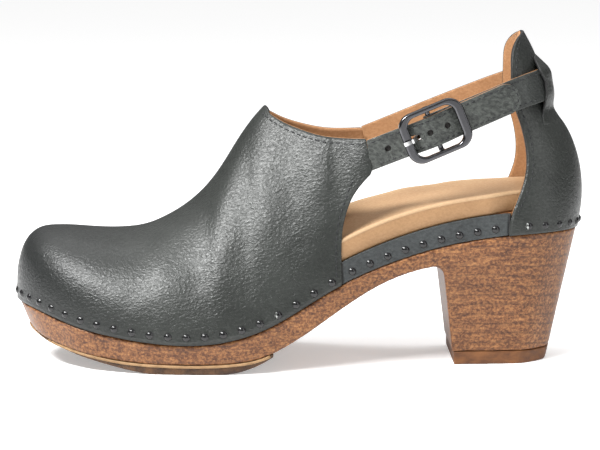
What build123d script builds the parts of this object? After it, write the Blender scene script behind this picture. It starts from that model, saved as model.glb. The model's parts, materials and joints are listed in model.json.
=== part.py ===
from build123d import *
import math
import os

# A closed-toe wooden clog for the left foot: a wood sole with a block heel, a leather forepart nailed
# to its edge, open sides, a leather heel counter and a strap round the heel that closes with a buckle.
# Frame, in millimetres: the origin is the centre of the heel lift's flat underside, +Z is up,
# the toe points to -X, the outer (lateral) side of the foot is -Y and the inner (medial) side +Y.

# ---------------------------------------------------------------- driving dimensions
LEATHER = 1.5  # outer leather of the vamp and the counter
LAYER_GAP = 0.1  # glue line between two layers
STIFFENER = 0.5  # toe puff and heel stiffener
UPPER = 2.9  # whole upper, outside to inside
STIFFENER_IN = LEATHER + LAYER_GAP + STIFFENER
WELT_STEP = 0.8  # how far the upper stands proud of the wood below it
SHELF_DROP = 0.3  # the wood's shelf lies this much under the upper's lower edge

LIFT_HEIGHT = 5.8
BREAST_X = -20.3  # heel breast at floor level
BREAST_TOP_X = -25.6  # heel breast where it meets the arch
BREAST_FILLET = 4.5
WOOD_TOP_LEVEL = 74.0  # level that the wood's ruled walls are drawn up to
PLATFORM_INSET = UPPER + 1.4
ARCH_PLATFORM_INSET = UPPER + 0.2

RAND_HEIGHT = 9.8
RAND_OUTER_INSET = 1.2
RAND_INNER_INSET = 2.9
RAND_FRONT_X = -69.0
RAND_BACK_X = 2.4

COVER = 1.0  # leather over the footbed's core
FOOTBED_ARCH_INSET = 2.6
FOOTBED_FORE_INSET = 8.6
FOOTBED_HEEL_INSET = 6.2

STRAP_WIDTH = 13.8
STRAP_LINING = 0.9
STRAP_THICK = 2.5
STRAP_GAP = 0.4
TIP_WIDTH = 13.0
TIP_THICK = 2.4
TIP_LINING = 0.8

BUCKLE_CENTRE = (-30.3, 103.0)
BUCKLE_SLOPE = 22.3  # degrees that the strap climbs towards the heel at the buckle
STRAP_FACE_Y = -26.6  # the strap's inner face at the buckle
BUCKLE_LENGTH = 29.3
BUCKLE_HEIGHT = 22.4
BUCKLE_SIDE = 3.9
BUCKLE_RAIL = 2.3
BUCKLE_CORNER = 6.4
BUCKLE_UNDER = 6.2  # the frame's underside above the strap's inner face
BUCKLE_THICK = 2.4
BAR_RADIUS = 1.1
BAR_LEVEL = 2.4
RUNNING_FIT = 0.08
LOOP_RADIUS = 2.35
PRONG_RADIUS = 0.85
PRONG_SLOT = 3.6
HOLE_RADIUS = 1.3
HOLE_PLACES = [-21.0, -2.3, 5.8]

NAIL_HEAD_RADIUS = 1.65
NAIL_HEAD_RISE = 0.95
NAIL_SHANK_RADIUS = 0.7
NAIL_LENGTH = 9.0
NAIL_PITCH = 7.9
NAIL_RISE = 3.4  # row of nails above the upper's lower edge

# ---------------------------------------------------------------- shared curves
# Lower edge of the upper seen from above, anticlockwise from the back of the heel.
OUTLINE_POINTS = [
    (35.8, 0), (31.4, 15.6), (20.5, 26.4), (3, 31), (-20, 30.5), (-42, 30), (-62, 31.5),
    (-84, 36), (-106, 41.5), (-128, 45.5), (-150, 46), (-172, 42.5), (-190, 35),
    (-203, 23.5), (-211.5, 4), (-204, -18), (-191, -31.5), (-172, -41.5), (-150, -47),
    (-128, -49), (-106, -47.5), (-84, -43), (-62, -37.8), (-42, -34), (-20, -31.5),
    (3, -31), (20.5, -26.4), (31.4, -15.6),
]  # fmt: skip
# The same edge seen from the side, as (x, z).
FEATHER_POINTS = [
    (-216, 27), (-202, 24.8), (-184, 19.6), (-164, 15.6), (-138, 13.1), (-120, 14.4),
    (-100, 20.6), (-75, 34.6), (-50, 45.5), (-25, 52.8), (0, 57), (42, 58.4),
]  # fmt: skip
# Top line of the forepart in the middle of the foot, from the toe up the instep.
RIDGE_POINTS = [
    (-211.5, 33), (-211.1, 40), (-210, 45), (-208, 50.3), (-205, 54.3), (-201, 56.9),
    (-195, 57.9), (-187, 57.8), (-175, 57), (-163, 57.1), (-154, 58.6), (-146, 61.9),
    (-138, 66.7), (-130, 73.4), (-122, 83.2), (-114, 96), (-106, 107), (-98, 115),
    (-88, 122), (-76, 127.3), (-62, 130.5), (-48, 132),
]  # fmt: skip



def flat_spline(points, closed=False):
    return Edge.make_spline([Vector(x, y, 0) for x, y in points], periodic=closed)


def moved(edge, inset=0.0, count=480):
    """Points along a flat curve, each moved to the left of the curve's direction by inset."""
    found = []
    for i in range(count + 1):
        place, direction = edge @ (i / count), edge % (i / count)
        found.append((place.X - inset * direction.Y, place.Y + inset * direction.X))
    return found


def read_at(points, x):
    """Second value at a first value x in a list of points whose first values rise or fall steadily."""
    for (xa, ya), (xb, yb) in zip(points, points[1:]):
        if min(xa, xb) <= x <= max(xa, xb) and xa != xb:
            return ya + (yb - ya) * (x - xa) / (xb - xa)
    return min(points, key=lambda p: abs(p[0] - x))[1]


def along(knots, x):
    """A straight-line graph through (x, value) knots, level beyond its ends."""
    if x <= knots[0][0]:
        return knots[0][1]
    if x >= knots[-1][0]:
        return knots[-1][1]
    return read_at(knots, x)


def eased(knots, x):
    """The same graph with each stretch eased in and out, so that it has no corners."""
    for (xa, ya), (xb, yb) in zip(knots, knots[1:]):
        if xa <= x <= xb:
            t = (x - xa) / (xb - xa)
            return ya + (yb - ya) * t * t * (3 - 2 * t)
    return along(knots, x)


OUTLINE = flat_spline(OUTLINE_POINTS, closed=True)
RIDGE = flat_spline(RIDGE_POINTS)
FEATHER = moved(flat_spline(FEATHER_POINTS))
TOE_X = min(x for x, y in moved(OUTLINE))
HEEL_X = max(x for x, y in moved(OUTLINE))
remembered = {}


def feather(x):
    return read_at(FEATHER, x)


def ridge(x, inset=0.0):
    """Height of the forepart's top line at x, with the surface moved inwards by inset."""
    key = ("ridge", inset)
    if key not in remembered:
        remembered[key] = moved(RIDGE, -inset)
    return read_at(remembered[key], x)


def walls(x, inset=0.0):
    """Lateral and medial y of the outline at x, moved inwards by inset."""
    key = ("walls", inset)
    if key not in remembered:
        loop = moved(OUTLINE, inset)
        toe = min(range(len(loop)), key=lambda i: loop[i][0])
        remembered[key] = (loop[toe:], loop[: toe + 1])
    lateral, medial = remembered[key]
    x = min(max(x, TOE_X + inset + 0.35), HEEL_X - inset - 0.35)
    return read_at(lateral, x), read_at(medial, x)


# ---------------------------------------------------------------- ready-made solids
WIDE = 90.0


def cut_block(start, spline_points, finish):
    """A wide block with a side view bounded by a spline and by straight lines through start and finish."""
    with BuildPart() as block:
        with BuildSketch(Plane.XZ):
            with BuildLine():
                edge = Spline(*spline_points)
                Polyline(edge @ 1, *finish, *start, edge @ 0)
            make_face()
        extrude(amount=WIDE, both=True)
    return block.part


def outline_block(inset, low, high):
    """The outline moved inwards by inset and raised straight from low to high."""
    ring = moved(OUTLINE, inset, 64)[:-1]
    with BuildPart() as block:
        with BuildSketch(Plane.XY.offset(low)):
            with BuildLine():
                Spline(*ring, periodic=True)
            make_face()
        extrude(amount=high - low)
    return block.part


def cut_away(base, *cutters):
    with BuildPart() as made:
        add(base)
        for cutter in cutters:
            add(cutter, mode=Mode.SUBTRACT)
    return made.part


def above(graph, first=-232.0, last=60.0, step=12.0):
    """Everything over the line z = graph(x), as a wide block."""
    count = round((last - first) / step)
    points = [(first + step * i, graph(first + step * i)) for i in range(count + 1)]
    return cut_block([(first, 190)], points, [(last, 190)])


def below(graph, first=-232.0, last=60.0, step=12.0):
    count = round((last - first) / step)
    points = [(first + step * i, graph(first + step * i)) for i in range(count + 1)]
    return cut_block([(first, -60)], points, [(last, -60)])


def side_box(x_low, x_high, y_low=-WIDE, y_high=WIDE, z_low=-60.0, z_high=200.0):
    with BuildPart() as block:
        with Locations(((x_low + x_high) / 2, (y_low + y_high) / 2, (z_low + z_high) / 2)):
            Box(x_high - x_low, y_high - y_low, z_high - z_low)
    return block.part


# ---------------------------------------------------------------- the sole
# How far the wood's wall has come in at floor level, by x.
BASE_INSET = [(-211, 11), (-196, 6.5), (-178, 3), (-150, 1.8), (-110, 1.8), (-80, 3), (-50, 5), (-20, 6.6),
              (8, 7.4), (26, 10.5), (36, 13)]  # fmt: skip
# The wood's underside over the tread and under the arch, and the tread's worn face.
WOOD_UNDER = [(-214, 19), (-205, 14.6), (-193, 10.4), (-180, 7.6), (-164, 5.2), (-148, 4.3), (-132, 4.1),
              (-116, 4.7), (-105, 6.4), (-96, 10), (-84, 16.9), (-75, 22.9), (-65, 29.5), (-53, 36.4),
              (-41.5, 41.0), (-33, 43.2), (BREAST_TOP_X, 44.3)]  # fmt: skip
TREAD_FACE = [(-214, 17.6), (-204, 13.6), (-193, 9.2), (-180, 5.7), (-165, 2.2), (-152, 0)]
TREAD_REAR = [(-118, 0), (-111, 1.5), (-104, 4.2), (-98.6, 7.2)]
PLATFORM_RISE = [(-212, 6.0), (-112, 6.0), (-72, 9.6), (40, 9.6)]
FOOTBED_TOP = [(-232, 40), (-206, 38.5), (-190, 34.5), (-170, 30.5), (-150, 28), (-130, 28.6), (-112, 34),
               (-95, 43), (-80, 51.2), (-67.4, 57.9), (-52.6, 64.2), (-36, 69.3), (-19.4, 72.8), (2.5, 75.8),
               (22, 77), (60, 77)]  # fmt: skip
FOOTBED_GRAPH = moved(flat_spline(FOOTBED_TOP))
UNDER_LINE = moved(flat_spline(WOOD_UNDER))


def wood_walls(inset=WELT_STEP, high=WOOD_TOP_LEVEL):
    """The wood's outer walls: ruled from floor level through the upper's lower edge and on upwards."""
    low_ring, high_ring = [], []
    count = 56
    edge_points = moved(OUTLINE, inset, count)[:-1]
    for i, (x, y) in enumerate(edge_points):
        direction = OUTLINE % (i / count)
        come_in = eased(BASE_INSET, x)
        reach = (high - feather(x)) / feather(x)
        in_x, in_y = -direction.Y * come_in, direction.X * come_in
        low_ring.append((x + in_x, y + in_y))
        high_ring.append((x - in_x * reach, y - in_y * reach))
    with BuildPart() as block:
        for z, ring in ((0, low_ring), (high, high_ring)):
            with BuildSketch(Plane.XY.offset(z)):
                with BuildLine():
                    Spline(*ring, periodic=True)
                make_face()
        loft(ruled=True)
    return block.part


def platform_top(x):
    return feather(x) + eased(PLATFORM_RISE, x)


def footbed_top(x):
    return read_at(FOOTBED_GRAPH, x)


def under_wood():
    """Everything below the wood in front of the heel, with the heel's breast and its rounded corner."""
    with BuildPart() as block:
        with BuildSketch(Plane.XZ):
            with BuildLine():
                under = Spline(*WOOD_UNDER)
                breast_foot = (BREAST_X, 0)
                Polyline(under @ 1, breast_foot, (BREAST_X, -60), (-240, -60), (-240, 19), under @ 0)
            make_face()
        extrude(amount=WIDE, both=True)
        lengthwise = block.edges().filter_by(Axis.Y)
        corner = lengthwise.filter_by(lambda e: abs(e.center().X - BREAST_TOP_X) < 3).sort_by(Axis.Z)[-1]
        fillet(corner, BREAST_FILLET)
    return block.part


def shelf_and_platform():
    """Everything over the wood: above its shelf outside the platform, above the platform inside it."""
    over_shelf = above(lambda x: feather(x) - SHELF_DROP)
    with BuildPart() as raised:
        add(outline_block(PLATFORM_INSET, 0, 120))
        arch_platform = outline_block(ARCH_PLATFORM_INSET, 0, 120)
        add(cut_away(arch_platform, side_box(-240, RAND_FRONT_X + 1), side_box(1, 60)))
        add(above(platform_top), mode=Mode.SUBTRACT)
    return cut_away(over_shelf, raised.part)


def tread_below():
    with BuildPart() as block:
        with BuildSketch(Plane.XZ):
            with BuildLine():
                front = Spline(*TREAD_FACE)
                rear = Spline(*TREAD_REAR)
                Line(front @ 1, rear @ 0)
                Polyline(rear @ 1, (-98.6, -60), (-240, -60), (-240, 17.6), front @ 0)
            make_face()
        extrude(amount=WIDE, both=True)
    return block.part


with BuildPart() as wood_sole:
    add(wood_walls())
    add(under_wood(), mode=Mode.SUBTRACT)
    add(side_box(-60, 60, z_high=LIFT_HEIGHT + 0.1), mode=Mode.SUBTRACT)
    add(shelf_and_platform(), mode=Mode.SUBTRACT)

with BuildPart() as forefoot_tread:
    add(wood_walls())
    add(tread_below(), mode=Mode.SUBTRACT)
    add(above(lambda x: read_at(UNDER_LINE, x) - 0.08, -232, -24, 8), mode=Mode.SUBTRACT)
    add(side_box(-98.6, 60), mode=Mode.SUBTRACT)

with BuildPart() as heel_lift:
    add(wood_walls())
    add(side_box(-240, BREAST_X), mode=Mode.SUBTRACT)
    add(side_box(-60, 60, z_low=LIFT_HEIGHT), mode=Mode.SUBTRACT)


def rand(side):
    """A leather strip on the wood's shelf; side is -1 for the lateral and +1 for the medial one."""
    strip = cut_away(outline_block(RAND_OUTER_INSET, 20, 90), outline_block(RAND_INNER_INSET, 10, 100))
    far_side = side_box(-240, 60, 0, WIDE) if side < 0 else side_box(-240, 60, -WIDE, 0)
    return cut_away(
        strip,
        far_side,
        side_box(-240, RAND_FRONT_X),
        side_box(RAND_BACK_X, 60),
        below(feather),
        above(lambda x: feather(x) + RAND_HEIGHT),
    )


with BuildPart() as rand_lateral:
    add(rand(-1))

with BuildPart() as rand_medial:
    add(rand(1))


def footbed_block(extra, low, high):
    """The footbed's plan: full width under the open sides and the heel, narrower inside the forepart."""
    with BuildPart() as block:
        add(cut_away(outline_block(FOOTBED_FORE_INSET + extra, low, high), side_box(-60, 60)))
        arch_plan = outline_block(FOOTBED_ARCH_INSET + extra, low, high)
        add(cut_away(arch_plan, side_box(-240, -68.5), side_box(1.5, 60)))
        add(cut_away(outline_block(FOOTBED_HEEL_INSET + extra, low, high), side_box(-240, 0.5)))
    return block.part


with BuildPart() as footbed_core:
    add(footbed_block(COVER, 10, 110))
    add(below(lambda x: platform_top(x) + 0.1), mode=Mode.SUBTRACT)
    add(above(lambda x: footbed_top(x) - COVER), mode=Mode.SUBTRACT)

with BuildPart() as footbed_cover:
    add(footbed_block(0, 10, 110))
    add(below(lambda x: platform_top(x) + 0.4), mode=Mode.SUBTRACT)
    add(above(footbed_top), mode=Mode.SUBTRACT)
    inside = footbed_block(COVER - 0.02, 5, 115)
    add(cut_away(inside, above(lambda x: footbed_top(x) - COVER + 0.02)), mode=Mode.SUBTRACT)


# ---------------------------------------------------------------- the forepart
CREST_Y = [(-211, 4), (-150, 1.5), (-110, 0)]
CROWN_POWER = [(-211, 2.7), (-150, 2.3), (-120, 2.8), (-100, 3.0), (-57, 3.3)]
SIDE_TAPER = [(-190, 0.0), (-150, 0.1), (-125, 0.36), (-108, 0.6), (-92, 0.66), (-74, 0.54), (-57, 0.33)]
TAPER_POWER = 1.25
FOREPART_STATIONS = [-211, -209.3, -206, -200.5, -191.5, -177.5, -161.5, -145.5, -131.5, -119.5,
                     -107.5, -94, -79.5, -66, -52]  # fmt: skip
ARCH_STEPS = 6
TOE_SHIFT_REACH = 45.0
STIFFENER_BACK_X = -163.0

# Rear edge of the vamp and its seam with the strap, then the topline up to the instep.
VAMP_REAR = [(-69.4, 30), (-69.6, 48), (-69.4, 58), (-67.6, 67.5), (-63.6, 76.6), (-57, 84)]
SEAM_TOP = (-59.2, 98.9)
VAMP_TOPLINE = [SEAM_TOP, (-68, 98.9), (-77, 99.6), (-86, 101.8), (-95, 105.2), (-103.5, 110.4),
                (-110, 120)]  # fmt: skip


def narrowing(x, rise):
    """Share of the half width that is left at a share, rise, of the section's height."""
    round_top = math.sqrt(max(0.0, 1 - rise ** along(CROWN_POWER, x)))
    return round_top * (1 - eased(SIDE_TAPER, x) * rise**TAPER_POWER)


def arch_points(x, inset=0.0, drop=0.0):
    """The forepart's section at x as (y, z), from the lateral edge over the crest to the medial edge."""
    lateral, medial = walls(x, inset)
    crest = along(CREST_Y, x)
    low, high = feather(x), ridge(x, inset)
    side = []
    for i in range(ARCH_STEPS):
        rise = math.sin(math.pi / 2 * i / ARCH_STEPS)
        side.append((narrowing(x, rise), low + (high - low) * rise))
    side[0] = (1.0, low - drop)
    left = [(crest + (lateral - crest) * share, z) for share, z in side]
    right = [(crest + (medial - crest) * share, z) for share, z in side]
    return left + [(crest, high)] + right[::-1]


def forepart_form(inset, drop=0.0, back=0.0):
    """A closed solid with the forepart's outer surface moved inwards by inset."""
    with BuildPart() as form:
        for x in FOREPART_STATIONS:
            at = x + inset * max(0.0, 1 - (x - TOE_X) / TOE_SHIFT_REACH)
            if x == FOREPART_STATIONS[-1]:
                at = x + back
            with BuildSketch(Plane.YZ.offset(at)):
                with BuildLine():
                    arch = Spline(*arch_points(at, inset, drop))
                    Line(arch @ 1, arch @ 0)
                make_face()
        loft()
    return form.part


def beyond_vamp():
    """Everything over the topline and behind the rear edge of the forepart."""
    with BuildPart() as block:
        with BuildSketch(Plane.XZ):
            with BuildLine():
                rear = Spline(*VAMP_REAR)
                Line(rear @ 1, SEAM_TOP)
                top = Spline(*VAMP_TOPLINE)
                Polyline(top @ 1, (-111, 190), (20, 190), (20, 0), (VAMP_REAR[0][0], 0), rear @ 0)
            make_face()
        extrude(amount=WIDE, both=True)
    return block.part


FORE_OUTER = forepart_form(0)
FORE_UNDER_LEATHER = forepart_form(LEATHER, drop=1, back=1)
FORE_LINING = forepart_form(LEATHER + LAYER_GAP, drop=1)
FORE_UNDER_STIFFENER = forepart_form(STIFFENER_IN, drop=1, back=1)
FORE_TOE_LINING = forepart_form(STIFFENER_IN + LAYER_GAP, drop=1)
FORE_INSIDE = forepart_form(UPPER, drop=2, back=2)
VAMP_WASTE = beyond_vamp()
BEHIND_TOE = side_box(STIFFENER_BACK_X - 0.1, 20)
UNDER_UPPER = below(feather)

with BuildPart() as vamp_outer:
    add(FORE_OUTER)
    add(FORE_UNDER_LEATHER, mode=Mode.SUBTRACT)
    add(VAMP_WASTE, mode=Mode.SUBTRACT)

with BuildPart() as toe_stiffener:
    add(FORE_LINING)
    add(FORE_UNDER_STIFFENER, mode=Mode.SUBTRACT)
    add(BEHIND_TOE, mode=Mode.SUBTRACT)
    add(UNDER_UPPER, mode=Mode.SUBTRACT)

with BuildPart() as vamp_lining:
    add(cut_away(FORE_LINING, side_box(-240, STIFFENER_BACK_X)))
    add(cut_away(FORE_TOE_LINING, side_box(STIFFENER_BACK_X + 0.2, 20)))
    add(FORE_INSIDE, mode=Mode.SUBTRACT)
    add(VAMP_WASTE, mode=Mode.SUBTRACT)
    add(UNDER_UPPER, mode=Mode.SUBTRACT)

# ---------------------------------------------------------------- the heel counter
BACK_X = [(50, 34.6), (58, 35.7), (66, 36.9), (80, 36.8), (92, 34.1), (104, 28.0), (108, 24.6),
          (112, 21.6), (119, 19.9), (127, 18.2), (135, 15.2), (148, 8.0)]  # fmt: skip
HEEL_HALF_WIDTH = [(50, 31), (58, 31), (66, 30.2), (80, 27.8), (92, 25.4), (104, 23.4), (112, 22.2),
                   (119, 21.4), (127, 20.6), (135, 19.8), (148, 18)]  # fmt: skip
HEEL_CENTRE_X = [(50, 4), (80, 3), (104, 1), (127, -2), (148, -8)]
HEEL_POINTS = 24
HEEL_STIFFENER_TOP = 98.0
# Front edge of the counter from its foot up to the point of the pull tab.
COUNTER_FRONT = [(2.8, 52), (3.2, 64), (6.6, 73), (10.2, 84), (10.2, 95), (7.6, 106), (4.6, 116),
                 (4.2, 128), (5.2, 137), (9.4, 143.4)]  # fmt: skip
COUNTER_TOP = COUNTER_FRONT[-1][1]


def heel_ring(z, inset=0.0):
    """A closed ring of points round the heel at level z."""
    centre = along(HEEL_CENTRE_X, z)
    reach = along(BACK_X, z) - centre - inset
    wide = along(HEEL_HALF_WIDTH, z) - inset
    turns = [2 * math.pi * i / HEEL_POINTS for i in range(HEEL_POINTS)]
    return [(centre + reach * math.cos(t), wide * math.sin(t)) for t in turns]


def stacked(rings):
    """A closed solid through rings given as (z, points)."""
    with BuildPart() as form:
        for z, ring in rings:
            with BuildSketch(Plane.XY.offset(z)):
                with BuildLine():
                    Spline(*ring, periodic=True)
                make_face()
        loft()
    return form.part


def heel_form(inset):
    return stacked([(z, heel_ring(z, inset)) for z, x in BACK_X])


HEEL_OUTER = heel_form(0)
HEEL_UNDER_LEATHER = heel_form(LEATHER)
HEEL_LINING = heel_form(LEATHER + LAYER_GAP)
HEEL_UNDER_STIFFENER = heel_form(STIFFENER_IN)
HEEL_LOW_LINING = heel_form(STIFFENER_IN + LAYER_GAP)
HEEL_INSIDE = heel_form(UPPER)


def beyond_counter():
    """Everything in front of the counter's front edge, over its tab and under its foot."""
    with BuildPart() as block:
        add(cut_block([(-120, 52)], COUNTER_FRONT, [(-120, COUNTER_TOP)]))
        add(side_box(-120, 60, z_low=COUNTER_TOP))
        add(below(feather))
    return block.part


def before_stiffener():
    """The same for the heel stiffener, which stops short of the counter's front edge."""
    edge_points = [(x + 3, z) for x, z in COUNTER_FRONT if z < HEEL_STIFFENER_TOP + 10]
    with BuildPart() as block:
        add(cut_block([(-120, 52)], edge_points, [(-120, edge_points[-1][1])]))
        add(below(feather))
        add(side_box(-60, 60, z_low=HEEL_STIFFENER_TOP - 0.1))
    return block.part


COUNTER_WASTE = beyond_counter()

with BuildPart() as counter_outer:
    add(HEEL_OUTER)
    add(HEEL_UNDER_LEATHER, mode=Mode.SUBTRACT)
    add(COUNTER_WASTE, mode=Mode.SUBTRACT)

with BuildPart() as heel_stiffener:
    add(HEEL_LINING)
    add(HEEL_UNDER_STIFFENER, mode=Mode.SUBTRACT)
    add(before_stiffener(), mode=Mode.SUBTRACT)

with BuildPart() as counter_lining:
    add(cut_away(HEEL_LINING, side_box(-60, 60, z_high=HEEL_STIFFENER_TOP)))
    add(cut_away(HEEL_LINING, side_box(16, 60)))
    add(cut_away(HEEL_LOW_LINING, side_box(-60, 60, z_low=HEEL_STIFFENER_TOP + 0.2)))
    add(HEEL_INSIDE, mode=Mode.SUBTRACT)
    add(COUNTER_WASTE, mode=Mode.SUBTRACT)
    add(heel_stiffener.part, mode=Mode.SUBTRACT)

# ---------------------------------------------------------------- the heel strap
# Middle line of the strap seen from the side, from the vamp's seam to the back of the heel.
STRAP_CENTRE = [(-75, 84.6), (-58, 91.6), (-30.3, 103.0), (-10, 111.3), (3, 116.4), (13, 119.7),
                (24, 121.6), (60, 121.8)]  # fmt: skip
STRAP_HALF = [(-30, STRAP_WIDTH / 2 / math.cos(math.radians(BUCKLE_SLOPE))), (24, STRAP_WIDTH / 2)]
LATERAL_RUN = [(-75, -30.8), (-56, -29.0), (-42, -27.6), (-30.3, -26.6), (-19, -25.6), (-9, -24.2)]
MEDIAL_RUN = [(-9, 22.8), (-22, 23.6), (-40, 24.4), (-56, 25.0), (-75, 25.6)]
STRAP_LEVELS = [78, 104, 112, 119, 127, 135]
STRAP_LINE = moved(flat_spline(STRAP_CENTRE))
SLEEVE_FRONT_X = 14.6
# How far the sleeve stands off the counter, by height.
SLEEVE_BULGE = [(104, 0.2), (107, 0.7), (110, 1.6), (113, 3.2), (116, 4.2), (122, 4.3), (127, 4.2),
                (130, 2.4), (133, 0.3)]  # fmt: skip
CHANNEL_SLACK = 0.35


def strap_centre(x):
    return read_at(STRAP_LINE, x)


def strap_ring(z, outset):
    """A closed ring at level z along the strap's inner face, moved outwards by outset."""
    level = min(max(z, 111), 135)
    centre = along(HEEL_CENTRE_X, level)
    reach = along(BACK_X, level) - centre
    wide = along(HEEL_HALF_WIDTH, level)
    turns = [math.radians(a) for a in (-80, -60, -40, -20, 0, 20, 40, 60, 80)]
    back = [(centre + reach * math.cos(t), wide * math.sin(t)) for t in turns]
    path = flat_spline(LATERAL_RUN + back + MEDIAL_RUN)
    return moved(path, -outset, 48)


def strap_form(outset):
    with BuildPart() as form:
        for z in STRAP_LEVELS:
            with BuildSketch(Plane.XY.offset(z)):
                with BuildLine():
                    run = Spline(*strap_ring(z, outset))
                    Line(run @ 1, run @ 0)
                make_face()
        loft()
    return form.part


def beside_strap(slack=0.0):
    """Everything over and under the strap's two edges."""

    def upper_edge(x):
        return strap_centre(x) + along(STRAP_HALF, x) + slack

    def lower_edge(x):
        return strap_centre(x) - along(STRAP_HALF, x) - slack

    return above(upper_edge, -86, 58), below(lower_edge, -86, 58)


STRAP_OVER, STRAP_UNDER = beside_strap()
STRAP_INNER = strap_form(STRAP_GAP)
SEAM_GAP = 0.35

with BuildPart() as before_seam:
    with BuildSketch(Plane.XZ):
        with BuildLine():
            foot, head = Vector(*VAMP_REAR[-1]), Vector(*SEAM_TOP)
            low = foot + (foot - head) + Vector(SEAM_GAP, 0)
            high = head + (head - foot) + Vector(SEAM_GAP, 0)
            Polyline(low, high, (-120, high.Y), (-120, low.Y), low)
        make_face()
    extrude(amount=WIDE, both=True)

# The buckle's own frame: x runs along the strap towards the heel, y points away from the foot.
RUN_TURN = math.radians(5.0)
RUN_SLOPE = math.radians(BUCKLE_SLOPE)
FLAT_ALONG = math.cos(RUN_TURN)
ALONG = Vector(FLAT_ALONG * math.cos(RUN_SLOPE), math.sin(RUN_TURN), FLAT_ALONG * math.sin(RUN_SLOPE))
OUTWARD = Vector(math.tan(RUN_TURN) / math.cos(RUN_SLOPE), -1, 0).normalized()
ACROSS = ALONG.cross(OUTWARD)
BUCKLE_ORIGIN = Vector(BUCKLE_CENTRE[0], STRAP_FACE_Y - STRAP_GAP, BUCKLE_CENTRE[1])
EDGEWISE = Plane(origin=BUCKLE_ORIGIN, x_dir=ALONG, z_dir=ACROSS)
FLATWISE = Plane(origin=BUCKLE_ORIGIN, x_dir=ALONG, z_dir=OUTWARD)


def buckle_block(start, finish, half_width=30.0):
    """A block over part of the strap's length in the buckle's own frame."""
    with BuildPart() as block:
        with BuildSketch(FLATWISE.offset(-20)):
            with Locations(((start + finish) / 2, 0)):
                Rectangle(finish - start, 2 * half_width)
        extrude(amount=40)
    return block.part



with BuildPart() as loop:
    with BuildSketch(EDGEWISE):
        with Locations((0, BAR_LEVEL)):
            Circle(LOOP_RADIUS)
        with Locations((2.4, (STRAP_LINING + LAYER_GAP + STRAP_THICK) / 2)):
            Rectangle(4.0, STRAP_THICK - STRAP_LINING - LAYER_GAP)
        with Locations((0, BAR_LEVEL)):
            Circle(BAR_RADIUS + RUNNING_FIT, mode=Mode.SUBTRACT)
    extrude(amount=STRAP_WIDTH / 2, both=True)

with BuildPart() as heel_strap:
    add(strap_form(STRAP_GAP + STRAP_THICK))
    add(strap_form(STRAP_GAP + STRAP_LINING + LAYER_GAP), mode=Mode.SUBTRACT)
    add(STRAP_OVER, mode=Mode.SUBTRACT)
    add(STRAP_UNDER, mode=Mode.SUBTRACT)
    add(buckle_block(-60, 2.6), mode=Mode.SUBTRACT)
    add(before_seam.part, mode=Mode.SUBTRACT)
    add(loop.part)
    add(buckle_block(-6, 2.8, PRONG_SLOT / 2), mode=Mode.SUBTRACT)

with BuildPart() as heel_strap_lining:
    add(strap_form(STRAP_GAP + STRAP_LINING))
    add(STRAP_INNER, mode=Mode.SUBTRACT)
    add(heel_form(-0.15), mode=Mode.SUBTRACT)
    add(STRAP_OVER, mode=Mode.SUBTRACT)
    add(STRAP_UNDER, mode=Mode.SUBTRACT)
    add(buckle_block(-60, 3.6), mode=Mode.SUBTRACT)
    add(before_seam.part, mode=Mode.SUBTRACT)

CHANNEL = cut_away(strap_form(STRAP_GAP + STRAP_THICK + CHANNEL_SLACK), *beside_strap(CHANNEL_SLACK))

with BuildPart() as strap_sleeve:
    add(stacked([(z, heel_ring(z, -bulge)) for z, bulge in SLEEVE_BULGE]))
    add(heel_form(-0.05), mode=Mode.SUBTRACT)
    add(side_box(-90, SLEEVE_FRONT_X), mode=Mode.SUBTRACT)
    add(CHANNEL, mode=Mode.SUBTRACT)

# ---------------------------------------------------------------- the tip strap
# Inner face of the tip strap in the buckle's frame, as (along, outward).
TIP_PATH = [(-34, -3.3), (-29, -2.6), (-22, -1.1), (-13, 1.0), (-6, 3.9), (0, 5.0), (6, 4.1), (10.5, 3.0),
            (14, 2.8), (22, 2.6), (32, 1.75), (40.8, 0.8)]  # fmt: skip
TIP_ROUND_CENTRE = 33.6
PRONG_OPENING = (-8.6, 7.0)


def tip_band(low, high):
    """A band along the tip strap between two distances from its inner face."""
    path = flat_spline(TIP_PATH)
    near, far = moved(path, low, 30), moved(path, high, 30)
    with BuildPart() as band:
        with BuildSketch(EDGEWISE):
            with BuildLine():
                inner = Spline(*near)
                outer = Spline(*far)
                Line(inner @ 0, outer @ 0)
                Line(inner @ 1, outer @ 1)
            make_face()
        extrude(amount=TIP_WIDTH / 2, both=True)
        with BuildSketch(FLATWISE.offset(-20)):
            with Locations((TIP_ROUND_CENTRE + 20, 0)):
                Rectangle(40, 60)
            with Locations((TIP_ROUND_CENTRE, 0)):
                Circle(TIP_WIDTH / 2 + 0.01, mode=Mode.SUBTRACT)
        extrude(amount=40, mode=Mode.SUBTRACT)
        with BuildSketch(FLATWISE.offset(-20)):
            with Locations(*[(place, 0) for place in HOLE_PLACES]):
                Circle(HOLE_RADIUS)
            with Locations((PRONG_OPENING[0], 0)):
                SlotOverall(PRONG_OPENING[1], 2 * HOLE_RADIUS)
        extrude(amount=40, mode=Mode.SUBTRACT)
        add(before_seam.part, mode=Mode.SUBTRACT)
    return band.part


with BuildPart() as tip_strap:
    add(tip_band(TIP_LINING + LAYER_GAP, TIP_THICK))

with BuildPart() as tip_strap_lining:
    add(tip_band(0, TIP_LINING))

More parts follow.
